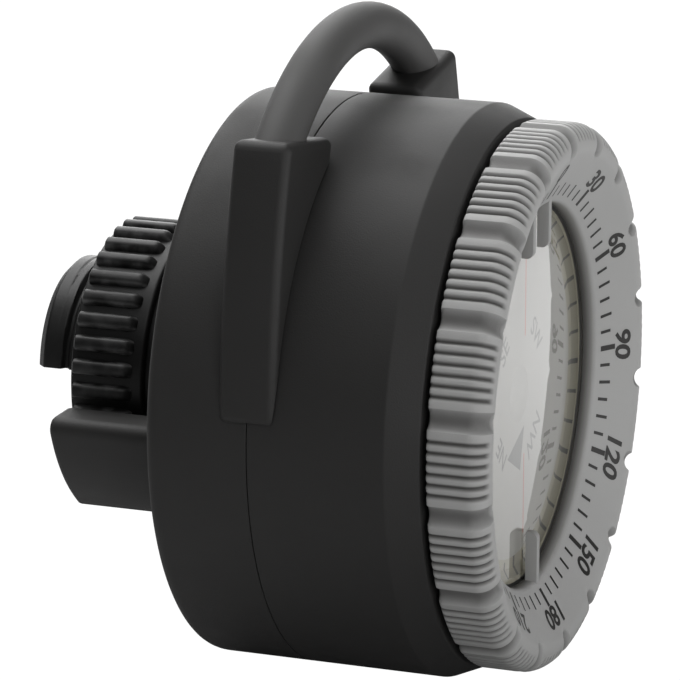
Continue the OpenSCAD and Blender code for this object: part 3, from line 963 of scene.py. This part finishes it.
@dataclass
class Clamp:
    """Strap clamp behind the case: nut, spigot and saddle."""

    spigot: float = 12.1
    spigot_length: float = 23.8
    plain_end: float = 2.4
    flat: float = 1.0
    pitch: float = 2.0
    thread_depth: float = 0.55
    thread_from: float = 5.0
    stem: float = 7.95
    flange: float = 10.0
    case_wall: float = 2.4
    flange_thick: float = 1.6
    nut: float = 17.5
    nut_root: float = 16.5
    nut_bore: float = 12.16
    nut_front: float = -7.9
    nut_back: float = -16.8
    nut_rim: float = 0.5
    rib_count: int = 36
    rib: float = 1.25
    rib_sink: float = 0.45
    rib_sides: int = 16
    rib_past: float = 0.05
    rib_short: float = 1.2
    rib_end: float = 1.4
    saddle: float = 24.9
    saddle_base: float = 14.9
    saddle_pass: float = 25.0
    saddle_rise: float = 4.6
    saddle_top: float = 1.9
    saddle_inner: float = 18.3
    saddle_length: float = 17.2
    saddle_edge: float = 1.5
    rings: RingTree = field(default_factory=RingTree)

    def build(self) -> None:
        """Makes all three pieces."""
        self.make_spigot()
        self.make_nut()
        self.make_saddle()

    def thread(self, angle: float, height: float) -> float:
        """Radius of the threaded spigot.

        Args:
            angle: angle round the axis in radians.
            height: height in front of the mount face.

        Returns:
            The radius at that place.
        """
        if height > -self.thread_from:
            return self.spigot
        turn = (height / self.pitch + angle / (2 * math.pi)) % 1.0
        wave = min(1.0, max(0.0, abs(turn - 0.5) * 5.0 - 0.45))
        run_out = self.spigot_length - self.plain_end + height
        run_in = max(0.0, min(1.0, -height - self.thread_from, run_out / 0.5))
        taper = max(0.0, -height - (self.spigot_length - 1.0))
        return min(self.spigot - self.thread_depth * (1 - wave) * run_in, self.spigot - taper)

    def make_spigot(self) -> None:
        """Half-round spigot with a cut thread and its stem through the case."""
        around, along = 72, 150
        low = math.asin(self.flat / self.spigot)
        rows = []
        for i in range(along + 1):
            h = -self.spigot_length * i / along
            row = []
            for k in range(around + 1):
                a = low + (math.pi - 2 * low) * k / around
                r = self.thread(a, h)
                row.append((r * math.cos(a), max(self.flat, r * math.sin(a)), h))
            rows.append(row)
        body = Piece()
        body.tube(rows)
        top = self.case_wall + self.flange_thick
        stem = Piece()
        profile = [(AXIS_RADIUS, 0.0), (self.stem, 0.0), (self.stem, self.case_wall)]
        profile += [(self.flange, self.case_wall), (self.flange, top), (AXIS_RADIUS, top)]
        stem.turned(profile, 96)
        mesh = join("spigot_thread", [body.mesh("spigot", crease=40), stem.mesh("stem")])
        show(mesh, "spigot_thread", FINISH.clamp, Body.CASE, "clamp_plastic", "threaded_spigot")

    def nut_rib(self) -> Mesh:
        """One rib of the nut: square behind, run out in front, and worn along its edges.

        Returns:
            The rib's mesh, on the right of the nut.
        """
        back = self.nut_back - self.rib_past
        full = self.nut_front - self.rib_short - self.rib_end
        stations = [(back, 0.8), (back + 0.08, 0.93), (back + 0.2, 1.0), (full, 1.0)]
        for k in range(1, 7):
            a = math.pi / 2 * k / 6
            stations.append((full + self.rib_end * math.sin(a), max(0.04, math.cos(a))))
        rib = Piece()
        rows = []
        foot = self.nut - self.rib - self.rib_sink
        for i, (h, swell) in enumerate(stations):
            row = []
            for k in range(self.rib_sides + 1):
                a = math.pi * k / self.rib_sides
                wide = math.copysign(abs(math.cos(a)) ** 0.7, math.cos(a)) * (0.5 + 0.5 * swell)
                tall = (math.sin(a) ** 0.5) * self.rib * swell
                edge = math.exp(-(((abs(math.cos(a)) - 0.75) / 0.2) ** 2))
                rib.wear[i * (self.rib_sides + 1) + k] = 0.16 + 0.84 * edge * (0.6 if 0 < i < 6 else 1.0)
                row.append((foot + tall + self.rib_sink * math.sin(a) * swell, wide, h))
            rows.append(row)
        rib.grid(rows, closed_v=True)
        rib.cap(range(self.rib_sides + 1))
        return rib.mesh("nut_rib")

    def make_nut(self) -> None:
        """Ring nut: a plain ring with ribs that run out before its front end."""
        ring = Piece()
        rear = self.nut_back - self.nut_rim
        corners = [(self.nut_bore, rear, 0.3), (self.nut_root, rear, 0.3)]
        corners += [(self.nut_root, self.nut_front, 0.5), (self.nut_bore, self.nut_front, 0.3)]
        ring.soft_turned(corners, 180)
        plain = ring.mesh("nut_ring")
        plain.materials.append(FINISH.clamp.material())
        plain.attributes.new("wear", "FLOAT", "POINT")
        mesh = join("nut_ribs", [plain, self.rings.apply(self.nut_rib(), FINISH.clamp, self.rib_count)])
        show(mesh, "nut_ribs", FINISH.clamp, Body.NUT, "clamp_plastic", "clamp_nut")

    def horn_outline(self) -> list[Pair]:
        """Section of the right horn of the saddle, face up.

        Returns:
            The closed run of its points.
        """
        top = -self.saddle_top
        edge = self.saddle_edge
        base = -self.saddle_base
        rim_x = math.sqrt((self.saddle - edge) ** 2 - (self.saddle_rise + self.saddle_top + edge) ** 2)
        rim_angle = math.degrees(math.atan2(top - edge - self.saddle_rise, rim_x))
        foot_angle = math.degrees(math.asin((base - self.saddle_rise) / self.saddle))
        half = self.saddle_pass / 2
        low = -math.sqrt(self.saddle_inner**2 - half**2)
        inner_from = math.degrees(math.atan2(low, half))
        inner_to = math.degrees(math.asin(top / self.saddle_inner))
        outline = arc((0.0, self.saddle_rise), self.saddle, foot_angle, rim_angle, 32)
        outline += arc((rim_x, top - edge), edge, rim_angle, 90, 8)[1:]
        outline += arc((0.0, 0.0), self.saddle_inner, inner_to, inner_from, 32)
        return outline + [(half, base + 0.3), (half + 0.3, base), (outline[0][0] - 0.4, base)]

    def make_saddle(self) -> None:
        """Saddle: a horn with soft rims on each side of the nut."""
        outline = self.horn_outline()
        rims = ((0.7, 0.0), (0.32, 0.1), (0.1, 0.32), (0.0, 0.7))
        layers = [(0.0, 0.0)] + [(rise - self.saddle_length, inset) for rise, inset in rims]
        horns = Piece()
        for side in (1, -1):
            rows = []
            for h, inset in layers:
                row = []
                for i, (x, y) in enumerate(outline):
                    along = Vector(outline[(i + 1) % len(outline)]) - Vector(outline[i - 1])
                    spot = Vector((x, y)) + Vector((-along.y, along.x)).normalized() * inset
                    row.append((side * spot.x, spot.y, h))
                rows.append(row)
            horns.tube(rows)
        mesh = horns.mesh("saddle_horns")
        show(mesh, "saddle_horns", FINISH.shell, Body.CASE, "shell_rubber", "strap_saddle")


@dataclass(frozen=True)
class Lettering:
    """Type of one kind of print."""

    size: float
    slant: float
    weight: float

    def word(self, text: str, place: Callable[[float, float], Triple]) -> Mesh:
        """Flat mesh of a short word, laid on a face.

        Args:
            text: characters to draw.
            place: gives the point, face up, for x and y in millimetres from the word's middle.

        Returns:
            The mesh in the row frame.
        """
        curve = bpy.data.curves.new("word", "FONT")
        curve.body = text
        curve.size = self.size
        curve.shear = self.slant
        curve.offset = self.weight
        curve.align_x = "CENTER"
        curve.align_y = "CENTER"
        curve.resolution_u = 4
        mesh = settled(placed("word", curve))
        for vert in mesh.vertices:
            vert.co = in_frame(*place(vert.co.x, vert.co.y))
        return face_front(mesh)


@dataclass
class Bezel:
    """Turning ring with grip pads, scale and gates."""

    radius: float = 33.3
    back: float = 33.9
    bore: float = 28.56
    lid: float = 35.9
    crest: float = 2.5
    crest_height: float = 41.2
    opening: float = 23.5
    opening_height: float = 37.2
    opening_edge: float = 0.4
    wall_foot: float = 35.64
    wall_lift: float = 0.03
    pads: int = 18
    grooves: int = 6
    groove_pitch: float = 2.2
    groove_half: float = 0.46
    groove_depth: float = 0.36
    groove_steps: tuple[float, ...] = (0.0, 0.13, 0.25, 0.36, 0.46)
    fade_from: float = 64.0
    fade_over: float = 16.0
    notch_radius: float = 1.5
    notch_depth: float = 0.75
    notch_wrap: float = 100.0
    notch_soft: float = 0.09
    notch_steps: tuple[float, ...] = (0.2, 0.4, 0.6, 0.8, 0.95, 1.1, 1.22, 1.32, 1.42, 1.55)
    # Dirt and painted shade in the notches; at the crest the notch's end gets painted shade with some dirt.
    notch_dirt: float = 0.8
    crest_dirt: float = 0.75
    crest_from: float = 70.0
    crease: float = 38.0
    gate_height: float = 1.5
    gate_reach: float = 5.7
    pointer_reach: float = 6.3
    prong: float = 1.1
    prong_gap: float = 5.0
    prong_soft: float = 0.16
    gate_tip: float = 1.0
    gate_root: float = 1.0
    tick_inner: float = 24.37
    tick_outer: float = 25.76
    tick_middle: float = 25.96
    tick_width: float = 0.4
    long_outer: float = 26.45
    long_width: float = 0.68
    print_lift: float = 0.025
    number_radius: float = 27.5
    number_wide: float = 1.13
    number_turn: float = 0.43
    lettering: Lettering = Lettering(3.5, 0.12, 0.1)
    turn: float = 0.88
    rings: RingTree = field(default_factory=RingTree)

    def build(self) -> None:
        """Makes the ring, its wall, its gates and its print."""
        self.ring()
        self.wall()
        self.gates()
        self.ticks()
        self.numbers()

    @property
    def crest_middle(self) -> Pair:
        """Centre of the crest's rounding, as radius and height."""
        return (self.radius - self.crest, self.crest_height - self.crest)

    @property
    def slope(self) -> float:
        """Slope of the straight scale face in degrees, as a tangent of the crest."""
        off_r = self.crest_middle[0] - self.opening
        off_h = self.crest_middle[1] - self.opening_height
        return math.degrees(math.atan2(off_h, off_r) + math.asin(self.crest / math.hypot(off_r, off_h)))

    @property
    def groove_places(self) -> list[float]:
        """Angles of the grooves from the pad's middle in degrees."""
        return [(k - (self.grooves - 1) / 2) * self.groove_pitch for k in range(self.grooves)]

    def profile(self) -> list[Triple]:
        """Section of the ring.

        Returns:
            Points of radius, height and lean, where lean is the angle of the outward normal on the grip's
            skin in degrees, and below zero where no cut reaches.
        """
        lean = 90 + self.slope
        run = [(self.bore, self.back, -1.0), (self.radius - 1.7, self.back, -1.0)]
        run += [(self.radius - 0.5, self.back + 0.06, 0.0), (self.radius - 0.12, self.back + 0.3, 0.0)]
        run += [(self.radius, self.back + 0.7, 0.0), (self.radius, self.back + 2.6, 0.0)]
        steps = 26
        for i, (r, h) in enumerate(arc(self.crest_middle, self.crest, 0, lean, steps)):
            run.append((r, h, lean * i / steps))
        foot_r, foot_h, _ = run[-1]
        for share in (0.05, 0.12, 0.2, 0.5):
            r = foot_r + (self.opening - foot_r) * share
            run.append((r, foot_h + (self.opening_height - foot_h) * share, lean + share * 100))
        edge = self.opening_edge
        rise = edge * math.tan(math.radians(self.slope))
        run += [(self.opening + edge, self.opening_height + rise, -1.0)]
        run += [(self.opening + edge * 0.3, self.opening_height + rise * 0.1, -1.0)]
        run += [(self.opening, self.opening_height - edge * 0.6, -1.0), (self.opening, self.lid, -1.0)]
        return run + [(self.bore, self.lid, -1.0)]

    def bite(self, angle: float, lean: float) -> float:
        """Depth that grooves and notches take off the grip's skin.

        Args:
            angle: angle from the pad's middle in degrees.
            lean: angle of the skin's normal in degrees.

        Returns:
            The depth along the normal.
        """
        off = self.radius * math.radians(180 / self.pads - abs(angle))
        beyond = max(0.0, lean - self.notch_wrap)
        run = math.hypot(off, (self.crest + self.notch_radius - self.notch_depth) * math.radians(beyond))
        deep = -1.0
        if run < self.notch_radius:
            deep = math.sqrt(self.notch_radius**2 - run**2) - self.notch_radius + self.notch_depth
        soft = self.notch_soft
        depth = deep if deep > soft else max(0.0, deep + soft) ** 2 / (4 * soft)
        fade = 1 - min(1.0, max(0.0, (lean - self.fade_from) / self.fade_over))
        for place in self.groove_places:
            off = self.radius * math.radians(angle - place)
            if abs(off) < self.groove_half:
                wave = 0.5 + 0.5 * math.cos(math.pi * off / self.groove_half)
                depth = max(depth, self.groove_depth * wave * fade)
        return depth

    def grime(self, angle: float, depth: float, lean: float) -> float:
        """Share of dirt and painted shade at a place on the grip, darker the deeper the cut.

        Args:
            angle: angle from the pad's middle in degrees.
            depth: depth of the cut there.
            lean: angle of the skin's normal in degrees.

        Returns:
            The share, from 0 to 1.
        """
        # Notches: dirt and painted shade by depth; past crest_from the notch's end at the crest takes painted
        # shade with some dirt. Grooves: dirt and painted shade by depth.
        if abs(angle) > (self.grooves / 2) * self.groove_pitch:
            most = self.notch_dirt if lean < self.crest_from else self.crest_dirt
            return min(1.0, depth / self.notch_depth) * most
        return min(1.0, depth / self.groove_depth)

    def stations(self) -> list[float]:
        """Angles across one pad's sector, close together where it is cut.

        Returns:
            Angles from the pad's middle in degrees.
        """
        half = 180 / self.pads
        places = {0.0, half}
        for middle in self.groove_places:
            for off in self.groove_steps:
                places.add(round(abs(middle + math.degrees(off / self.radius)), 4))
                places.add(round(abs(middle - math.degrees(off / self.radius)), 4))
        for off in self.notch_steps:
            places.add(half - math.degrees(off / self.radius))
        half_run = sorted(places)
        return [-a for a in reversed(half_run[1:])] + half_run

    def ring(self) -> None:
        """Ring of pads: one sector, repeated round the axis with a notch at the top."""
        section = self.profile()
        sector = Piece()
        rows = []
        for angle in self.stations():
            a = math.radians(90 + angle)
            row = []
            for r, h, lean in section:
                if lean >= 0:
                    depth = self.bite(angle, lean)
                    # Per-point share of dirt and painted shade in the grooves and notches.
                    sector.wear[len(rows) * len(section) + len(row)] = self.grime(angle, depth, lean)
                    tilt = math.radians(min(lean, 90 + self.slope))
                    r, h = r - depth * math.cos(tilt), h - depth * math.sin(tilt)
                row.append((r * math.cos(a), r * math.sin(a), h))
            rows.append(row)
        sector.grid(rows, closed_v=True)
        one = sector.mesh("bezel_sector", merge=MERGE / 2)
        start = 180 / self.pads
        ring = self.rings.apply(one, FINISH.bezel, self.pads, start=start, merge=0.004, crease=self.crease)
        tidy_mesh(ring, 0.003, self.crease)
        show(ring, "bezel_ring", FINISH.bezel, Body.BEZEL, "bezel_grey", "bezel")

    def wall(self) -> None:
        """Sheet over the opening's wall that carries painted shade, darker towards the window."""
        skin = Piece()
        rows = []
        top = self.opening_height
        lift = self.wall_lift
        # Painted shade share per row: darkest at the window, fading out at the opening's edge.
        run = ((lift, self.wall_foot, 0.95), (lift, self.lid, 0.9))
        run += ((lift, top - 0.8, 0.5), (0.0, top - 0.3, 0.0))
        for i in range(181):
            a = math.radians(2 * i)
            row = []
            for k, (off, h, painted_shade) in enumerate(run):
                skin.wear[i * len(run) + k] = painted_shade
                row.append(((self.opening - off) * math.cos(a), (self.opening - off) * math.sin(a), h))
            rows.append(row)
        skin.grid(rows)
        show(skin.mesh("opening_wall_shade"), "opening_wall_shade", FINISH.bezel, Body.BEZEL, "bezel_grey")

    def bar(self, reach: float, shift: float, side: int) -> Mesh:
        """One thin prong over the window, with a round tip and soft edges.

        Args:
            reach: how far it reaches in from the opening.
            shift: sideways place of its middle.
            side: 1 for the upper gate, -1 for the lower one.

        Returns:
            The prong's mesh.
        """
        tip = self.opening - reach
        root = self.opening + self.gate_root
        top = self.gate_height
        outline = [(root, 0.0), (tip + 0.06, 0.0)]
        outline += arc((tip + self.gate_tip, top - self.gate_tip), self.gate_tip, 180, 90, 8) + [(root, top)]
        half = self.prong / 2
        soft = self.prong_soft
        edges = ((soft, half), (soft * 0.3, half - soft * 0.3), (0.0, half - soft))
        layers = [(inset, -wide) for inset, wide in edges] + list(reversed(edges))
        rows = []
        for inset, x in layers:
            row = []
            for y, z in outline:
                y = max(y, tip + inset) if y < root else y
                row.append((side * (shift + x), side * y, self.lid + min(z, top - inset)))
            rows.append(row)
        prong = Piece()
        prong.tube(rows)
        return prong.mesh("gate_prong", crease=40)

    def gates(self) -> None:
        """Upper gate of two prongs and lower gate of one pointer."""
        step = (self.prong + self.prong_gap) / 2
        bars = [self.bar(self.gate_reach, -step, 1), self.bar(self.gate_reach, step, 1)]
        bars.append(self.bar(self.pointer_reach, 0.0, -1))
        show(join("bezel_gates", bars), "bezel_gates", FINISH.gate, Body.BEZEL, "bezel_grey")

    def on_face(self, radius: float, angle: float) -> Triple:
        """Place just over the scale face.

        Args:
            radius: distance from the axis.
            angle: clockwise angle from the top in degrees.

        Returns:
            The point, face up.
        """
        a = math.radians(angle)
        rise = (radius - self.opening) * math.tan(math.radians(self.slope))
        return (radius * math.sin(a), radius * math.cos(a), self.opening_height + rise + self.print_lift)

    def tick(self, outer: float, width: float) -> Mesh:
        """One tick at the top of the scale.

        Args:
            outer: outer radius.
            width: width in millimetres.

        Returns:
            The tick's mesh.
        """
        rows = []
        for i in range(3):
            r = self.tick_inner + (outer - self.tick_inner) * i / 2
            half = math.degrees(width / 2 / r)
            rows.append([self.on_face(r, -half), self.on_face(r, half)])
        mark = Piece()
        mark.grid(rows)
        return face_front(mark.mesh("tick"))

    def ticks(self) -> None:
        """Ticks every five degrees, a little longer every ten and heavy every thirty."""
        kinds = (
            (self.tick_outer, self.tick_width, 36, NO_GAP, self.turn + 5),
            (self.tick_middle, self.tick_width, 36, 3, self.turn),
            (self.long_outer, self.long_width, 12, NO_GAP, self.turn),
        )
        made = []
        for outer, width, count, gap, start in kinds:
            made.append(self.rings.apply(self.tick(outer, width), FINISH.ink, count, gap, start))
        show(join("scale_ticks", made), "scale_ticks", FINISH.ink, Body.BEZEL, "bezel_grey")

    def numbers(self) -> None:
        """Degrees every thirty, read from the face with their tops outwards."""
        lean = math.cos(math.radians(self.slope))
        meshes = []
        for degrees in range(0, 360, 30):

            def place(u: float, v: float) -> Triple:
                """Point on the face for a point of the number."""
                turn = math.degrees(u * self.number_wide / self.number_radius)
                return self.on_face(self.number_radius + v * lean, degrees + self.number_turn + turn)

            meshes.append(self.lettering.word(str(degrees), place))
        show(join("scale_numbers", meshes), "scale_numbers", FINISH.ink, Body.BEZEL, "bezel_grey")


@dataclass
class Dial:
    """Card under the window, with its print, and the window's lines."""

    face: float = 21.4
    rim: float = 23.1
    band: float = 20.1
    height: float = 32.3
    thick: float = 0.6
    rim_height: float = 2.2
    rim_wall: float = 0.6
    mark_top: float = 0.98
    mark_lift: float = 0.02
    hub: float = 3.5
    window: float = 25.8
    window_back: float = 34.8
    window_front: float = 35.6
    window_edge: float = 0.15
    north: float = 184.0
    letters: float = 8.7
    lettering: Lettering = Lettering(3.4, 0.0, 0.03)
    print_lift: float = 0.03
    pointer: tuple[Pair, ...] = ((2.15, -4.5), (0.75, -9.85), (-4.3, -7.1))
    line_from: float = 7.4
    line_to: float = 17.5
    line_half: float = 0.17
    crease: float = 20.0
    rings: RingTree = field(default_factory=RingTree)

    def build(self) -> None:
        """Makes the card, its print, the window and the window's lines."""
        self.card()
        self.rim_marks()
        self.face_print()
        self.glass()
        self.lines()

    def card(self) -> None:
        """Card with its raised rim; the rim and a band beside it have their own colour."""
        top = self.height + self.rim_height
        under = self.height - self.thick
        profile = [(self.hub, under), (self.face + self.rim_wall / 2, under)]
        profile += [(self.rim, top - self.rim_wall), (self.rim, top), (self.rim - self.rim_wall, top)]
        profile += [(self.face, self.height), (self.band, self.height), (self.hub, self.height)]
        plate = Piece()
        plate.turned(profile, 200)
        mesh = plate.mesh("card_plate", crease=self.crease)
        mesh.materials.append(FINISH.card.material())
        mesh.materials.append(FINISH.rim.material())
        for polygon in mesh.polygons:
            if math.hypot(polygon.center.x, polygon.center.z) > (self.band + 0.1) * MM:
                polygon.material_index = 1
        show(mesh, "card_plate", FINISH.card, Body.CARD, "card_white", "compass_card")

    def on_rim(self, share: float, angle: float) -> Triple:
        """Place just over the rim's slope or the band beside it.

        Args:
            share: 0 at the slope's foot, 1 at its top, and -1 at the inner edge of the tan band.
            angle: clockwise angle from the top in degrees.

        Returns:
            The point, face up.
        """
        wide = self.rim - self.rim_wall - self.face if share > 0 else self.face - self.band
        r = self.face + wide * share - self.mark_lift
        h = self.height + self.rim_height * max(0.0, share) + self.mark_lift
        a = math.radians(angle)
        return (r * math.sin(a), r * math.cos(a), h)

    def rim_marks(self) -> None:
        """Ticks on the rim every ten degrees, longer and wider every thirty."""
        made = []
        for count, gap, low, half in ((36, 3, -0.7, 0.6), (12, NO_GAP, -1.0, 0.85)):
            rows = []
            for share in (low, 0.0, self.mark_top / 2, self.mark_top):
                rows.append([self.on_rim(share, -half), self.on_rim(share, half)])
            mark = Piece()
            mark.grid(rows)
            made.append(self.rings.apply(mark.mesh("rim_mark"), FINISH.ink, count, gap, self.north))
        show(join("rim_marks", made), "rim_marks", FINISH.ink, Body.CARD, "card_white")

    def face_print(self) -> None:
        """Letters between the four quarters and the north pointer."""
        level = self.height + self.print_lift
        meshes = []
        for k, letters in enumerate(("NE", "SE", "SW", "NW")):
            angle = math.radians(self.north + 45 + 90 * k)
            along = Vector((math.sin(angle), math.cos(angle)))

            def place(u: float, v: float) -> Triple:
                """Point on the card for a point of the word."""
                r = self.letters + v
                return (r * along.x + u * along.y, r * along.y - u * along.x, level)

            meshes.append(self.lettering.word(letters, place))
        mark = Piece()
        mark.points.extend((x, y, level) for x, y in self.pointer)
        mark.cap(range(len(self.pointer)))
        meshes.append(face_front(mark.mesh("card_mark")))
        show(join("face_print", meshes), "face_print", FINISH.faint, Body.CARD, "card_white")

    def glass(self) -> None:
        """Clear window with softly broken edges; its front face alone bends and mirrors light."""
        back, front, edge = self.window_back, self.window_front, self.window_edge
        pane = Piece()
        corners = [(AXIS_RADIUS, back, 0), (self.window, back, edge)]
        pane.soft_turned(corners + [(self.window, front, edge), (AXIS_RADIUS, front, 0)], 160)
        mesh = pane.mesh("window_pane", crease=self.crease)
        mesh.materials.append(FINISH.window.material())
        mesh.materials.append(FINISH.inside.material())
        for polygon in mesh.polygons:
            polygon.material_index = 0 if polygon.normal.y < -0.5 else 1
        show(mesh, "window_pane", FINISH.window, Body.MODULE, "window_clear", "window")

    def lines(self) -> None:
        """Two red lines on the window's underside."""
        level = self.window_back - self.print_lift
        half = self.line_half
        marks = Piece()
        for side in (1, -1):
            ends = (side * self.line_from, side * self.line_to)
            marks.grid([[(-half, y, level), (half, y, level)] for y in ends])
        mesh = face_front(marks.mesh("lubber_lines"))
        show(mesh, "lubber_lines", FINISH.line, Body.MODULE, "window_clear")


@dataclass
class Retractor:
    """Pull cord and the finishes of the inner pieces."""

    eyelet: Pair = (0.0, -27.0)
    cord: float = 0.6
    sides: int = 20
    start: float = 11.4
    end: float = 14.4

    def build(self, nodes: dict[str, bpy.types.Object]) -> None:
        """Makes the cord that is paid out, and dresses the solids that stay.

        Args:
            nodes: the CAD nodes by name.
        """
        self.pull_cord()
        self.dress(nodes)

    def pull_cord(self) -> None:
        """Cord between the eyelet and the compass, as a short fixed tube."""
        x, y = self.eyelet
        turn = [2 * math.pi * k / self.sides for k in range(self.sides)]
        rows = []
        for h in (self.start, (self.start + self.end) / 2, self.end):
            rows.append([(x + self.cord * math.cos(a), y + self.cord * math.sin(a), h) for a in turn])
        line = Piece()
        line.tube(rows)
        mesh = line.mesh("pull_cord")
        mesh.materials.append(FINISH.cord.material())
        piece = placed("pull_cord", mesh)
        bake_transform(piece)
        LOG.info("pull_cord between case and module")

    def dress(self, nodes: dict[str, bpy.types.Object]) -> None:
        """Gives each solid that stays its finish.

        Args:
            nodes: the CAD nodes by name.
        """
        finishes: dict[Finish, tuple[str, ...]] = {
            FINISH.steel: (
                "reel_axle", "mainspring", "cover_screws", "cord_anchor", "diaphragm_ring", "fill_plug",
                "pivot_needle", "card_magnets", "bezel_snap_ring",
            ),
            FINISH.inner: ("reel_cover", "cord_reel", "capsule_body"),
            FINISH.brass: ("cord_eyelet",),
            FINISH.cord: ("cord_lead", "wound_cord"),
            FINISH.clamp: ("clamp_washer",),
            FINISH.seal: ("window_seal", "diaphragm"),
            FINISH.card: ("pivot_post", "card_hub"),
        }
        for finish, names in finishes.items():
            for name in names:
                nodes[name].data.materials.clear()
                nodes[name].data.materials.append(finish.material())


@dataclass
class Studio:
    """Floor, light and camera."""

    target: Triple = (0.0, -0.01159, 0.0046)
    azimuth: float = -69.911
    elevation: float = 15.267
    distance: float = 0.4952
    lens: float = 213.74
    sensor: float = 36.0
    floor: float = -0.0351
    floor_half: float = 3.0
    floor_tone: float = 0.45
    floor_glow: float = 1.12
    seen_share: float = 0.93
    mirror_share: float = 0.9
    sky: float = 0.05
    lights: tuple[tuple[str, Triple, float, float], ...] = (
        ("above", (0.26, 0.33, 0.83), 0.8, 8.5),
        ("side", (-0.48, 0.0, 0.82), 0.7, 1.6),
        ("face", (0.0, -0.95, 0.16), 0.36, 2.3),
        ("corner", (-0.66, -0.66, 0.24), 0.5, 2.0),
        ("behind", (0.835, 0.344, 0.295), 0.6, 4.5),
    )

    def build(self) -> None:
        """Sets up the whole studio."""
        self.camera()
        self.stage()
        self.backdrop()
        for light in self.lights:
            self.lamp(*light)
        bpy.context.scene.view_settings.view_transform = "Standard"

    @staticmethod
    def aim(thing: bpy.types.Object, spot: Vector, target: Vector) -> None:
        """Places a camera or a lamp and points it.

        Args:
            thing: the object to place.
            spot: its place.
            target: the point that it looks at.
        """
        turn = (target - spot).to_track_quat("-Z", "Y").to_matrix().to_4x4()
        thing.matrix_world = Matrix.Translation(spot) @ turn

    def camera(self) -> None:
        """Camera at the photograph's angle and distance."""
        data = bpy.data.cameras.new("view")
        data.lens = self.lens
        data.sensor_width = self.sensor
        data.clip_start = 0.01
        camera = placed("view", data)
        az, el = math.radians(self.azimuth), math.radians(self.elevation)
        away = Vector((math.sin(az) * math.cos(el), -math.cos(az) * math.cos(el), math.sin(el)))
        target = Vector(self.target)
        self.aim(camera, target + away * self.distance, target)
        bpy.context.scene.camera = camera

    def stage(self) -> None:
        """Floor: white to the camera, greyer to bounced light, with a bright part in mirror images."""
        size, z = self.floor_half, self.floor
        corners = [(-size, -size, z), (size, -size, z), (size, size, z), (-size, size, z)]
        mesh = bpy.data.meshes.new("floor")
        mesh.from_pydata(corners, [], [(0, 1, 2, 3)])
        floor = placed("floor", mesh)
        material = bpy.data.materials.new("floor_white")
        graph = Graph(material)
        graph.dress({"Base Color": grey(self.floor_tone), "Roughness": 0.9, "Specular IOR Level": 0.0})
        across = graph.add("ShaderNodeSeparateXYZ", {}, {"Vector": graph.place()}, "X")
        mirrored = graph.light_path("Is Glossy Ray") * across.step(-0.01, 0.16) * self.mirror_share
        share = graph.light_path("Is Camera Ray") * self.seen_share + mirrored
        glow = graph.add("ShaderNodeEmission", {}, {"Strength": self.floor_glow})
        plain = Value(graph, graph.shader.outputs[0])
        blend = graph.add("ShaderNodeMixShader", {}, {0: share, 1: plain, 2: glow})
        graph.feed(graph.output.inputs["Surface"], blend)
        mesh.materials.append(material)

    def backdrop(self) -> None:
        """World that is white to the camera and dim to everything else."""
        world = bpy.data.worlds.new("studio")
        world.use_nodes = True
        nodes = Nodes(world.node_tree)
        seen = nodes.add("ShaderNodeLightPath", {}, {}, "Is Camera Ray")
        dim = nodes.add("ShaderNodeBackground", {}, {"Color": grey(1.0), "Strength": self.sky})
        white = nodes.add("ShaderNodeBackground", {}, {"Color": grey(1.0), "Strength": 1.0})
        blend = nodes.add("ShaderNodeMixShader", {}, {0: seen, 1: dim, 2: white})
        nodes.feed(nodes.tree.nodes.new("ShaderNodeOutputWorld").inputs["Surface"], blend)
        bpy.context.scene.world = world

    def lamp(self, name: str, spot: Triple, size: float, power: float) -> None:
        """One square area lamp that looks at the object.

        Args:
            name: the lamp's name.
            spot: its place in metres.
            size: its side in metres.
            power: its power in watts.
        """
        data = bpy.data.lights.new(name, "AREA")
        data.shape = "SQUARE"
        data.size = size
        data.energy = power
        self.aim(placed(name, data), Vector(spot), Vector((0, 0, 0)))


def main() -> None:
    """Builds the studio and every sub-assembly, and notes the sizes."""
    logging.basicConfig(level=logging.INFO, format="%(name)s %(message)s")
    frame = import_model()
    for part in (Studio(), Drum(), Loop(), Clamp(), Bezel(), Dial()):
        part.build()
    Retractor().build(frame["nodes"])
    bpy.context.view_layer.update()


if __name__ == "__main__":
    main()
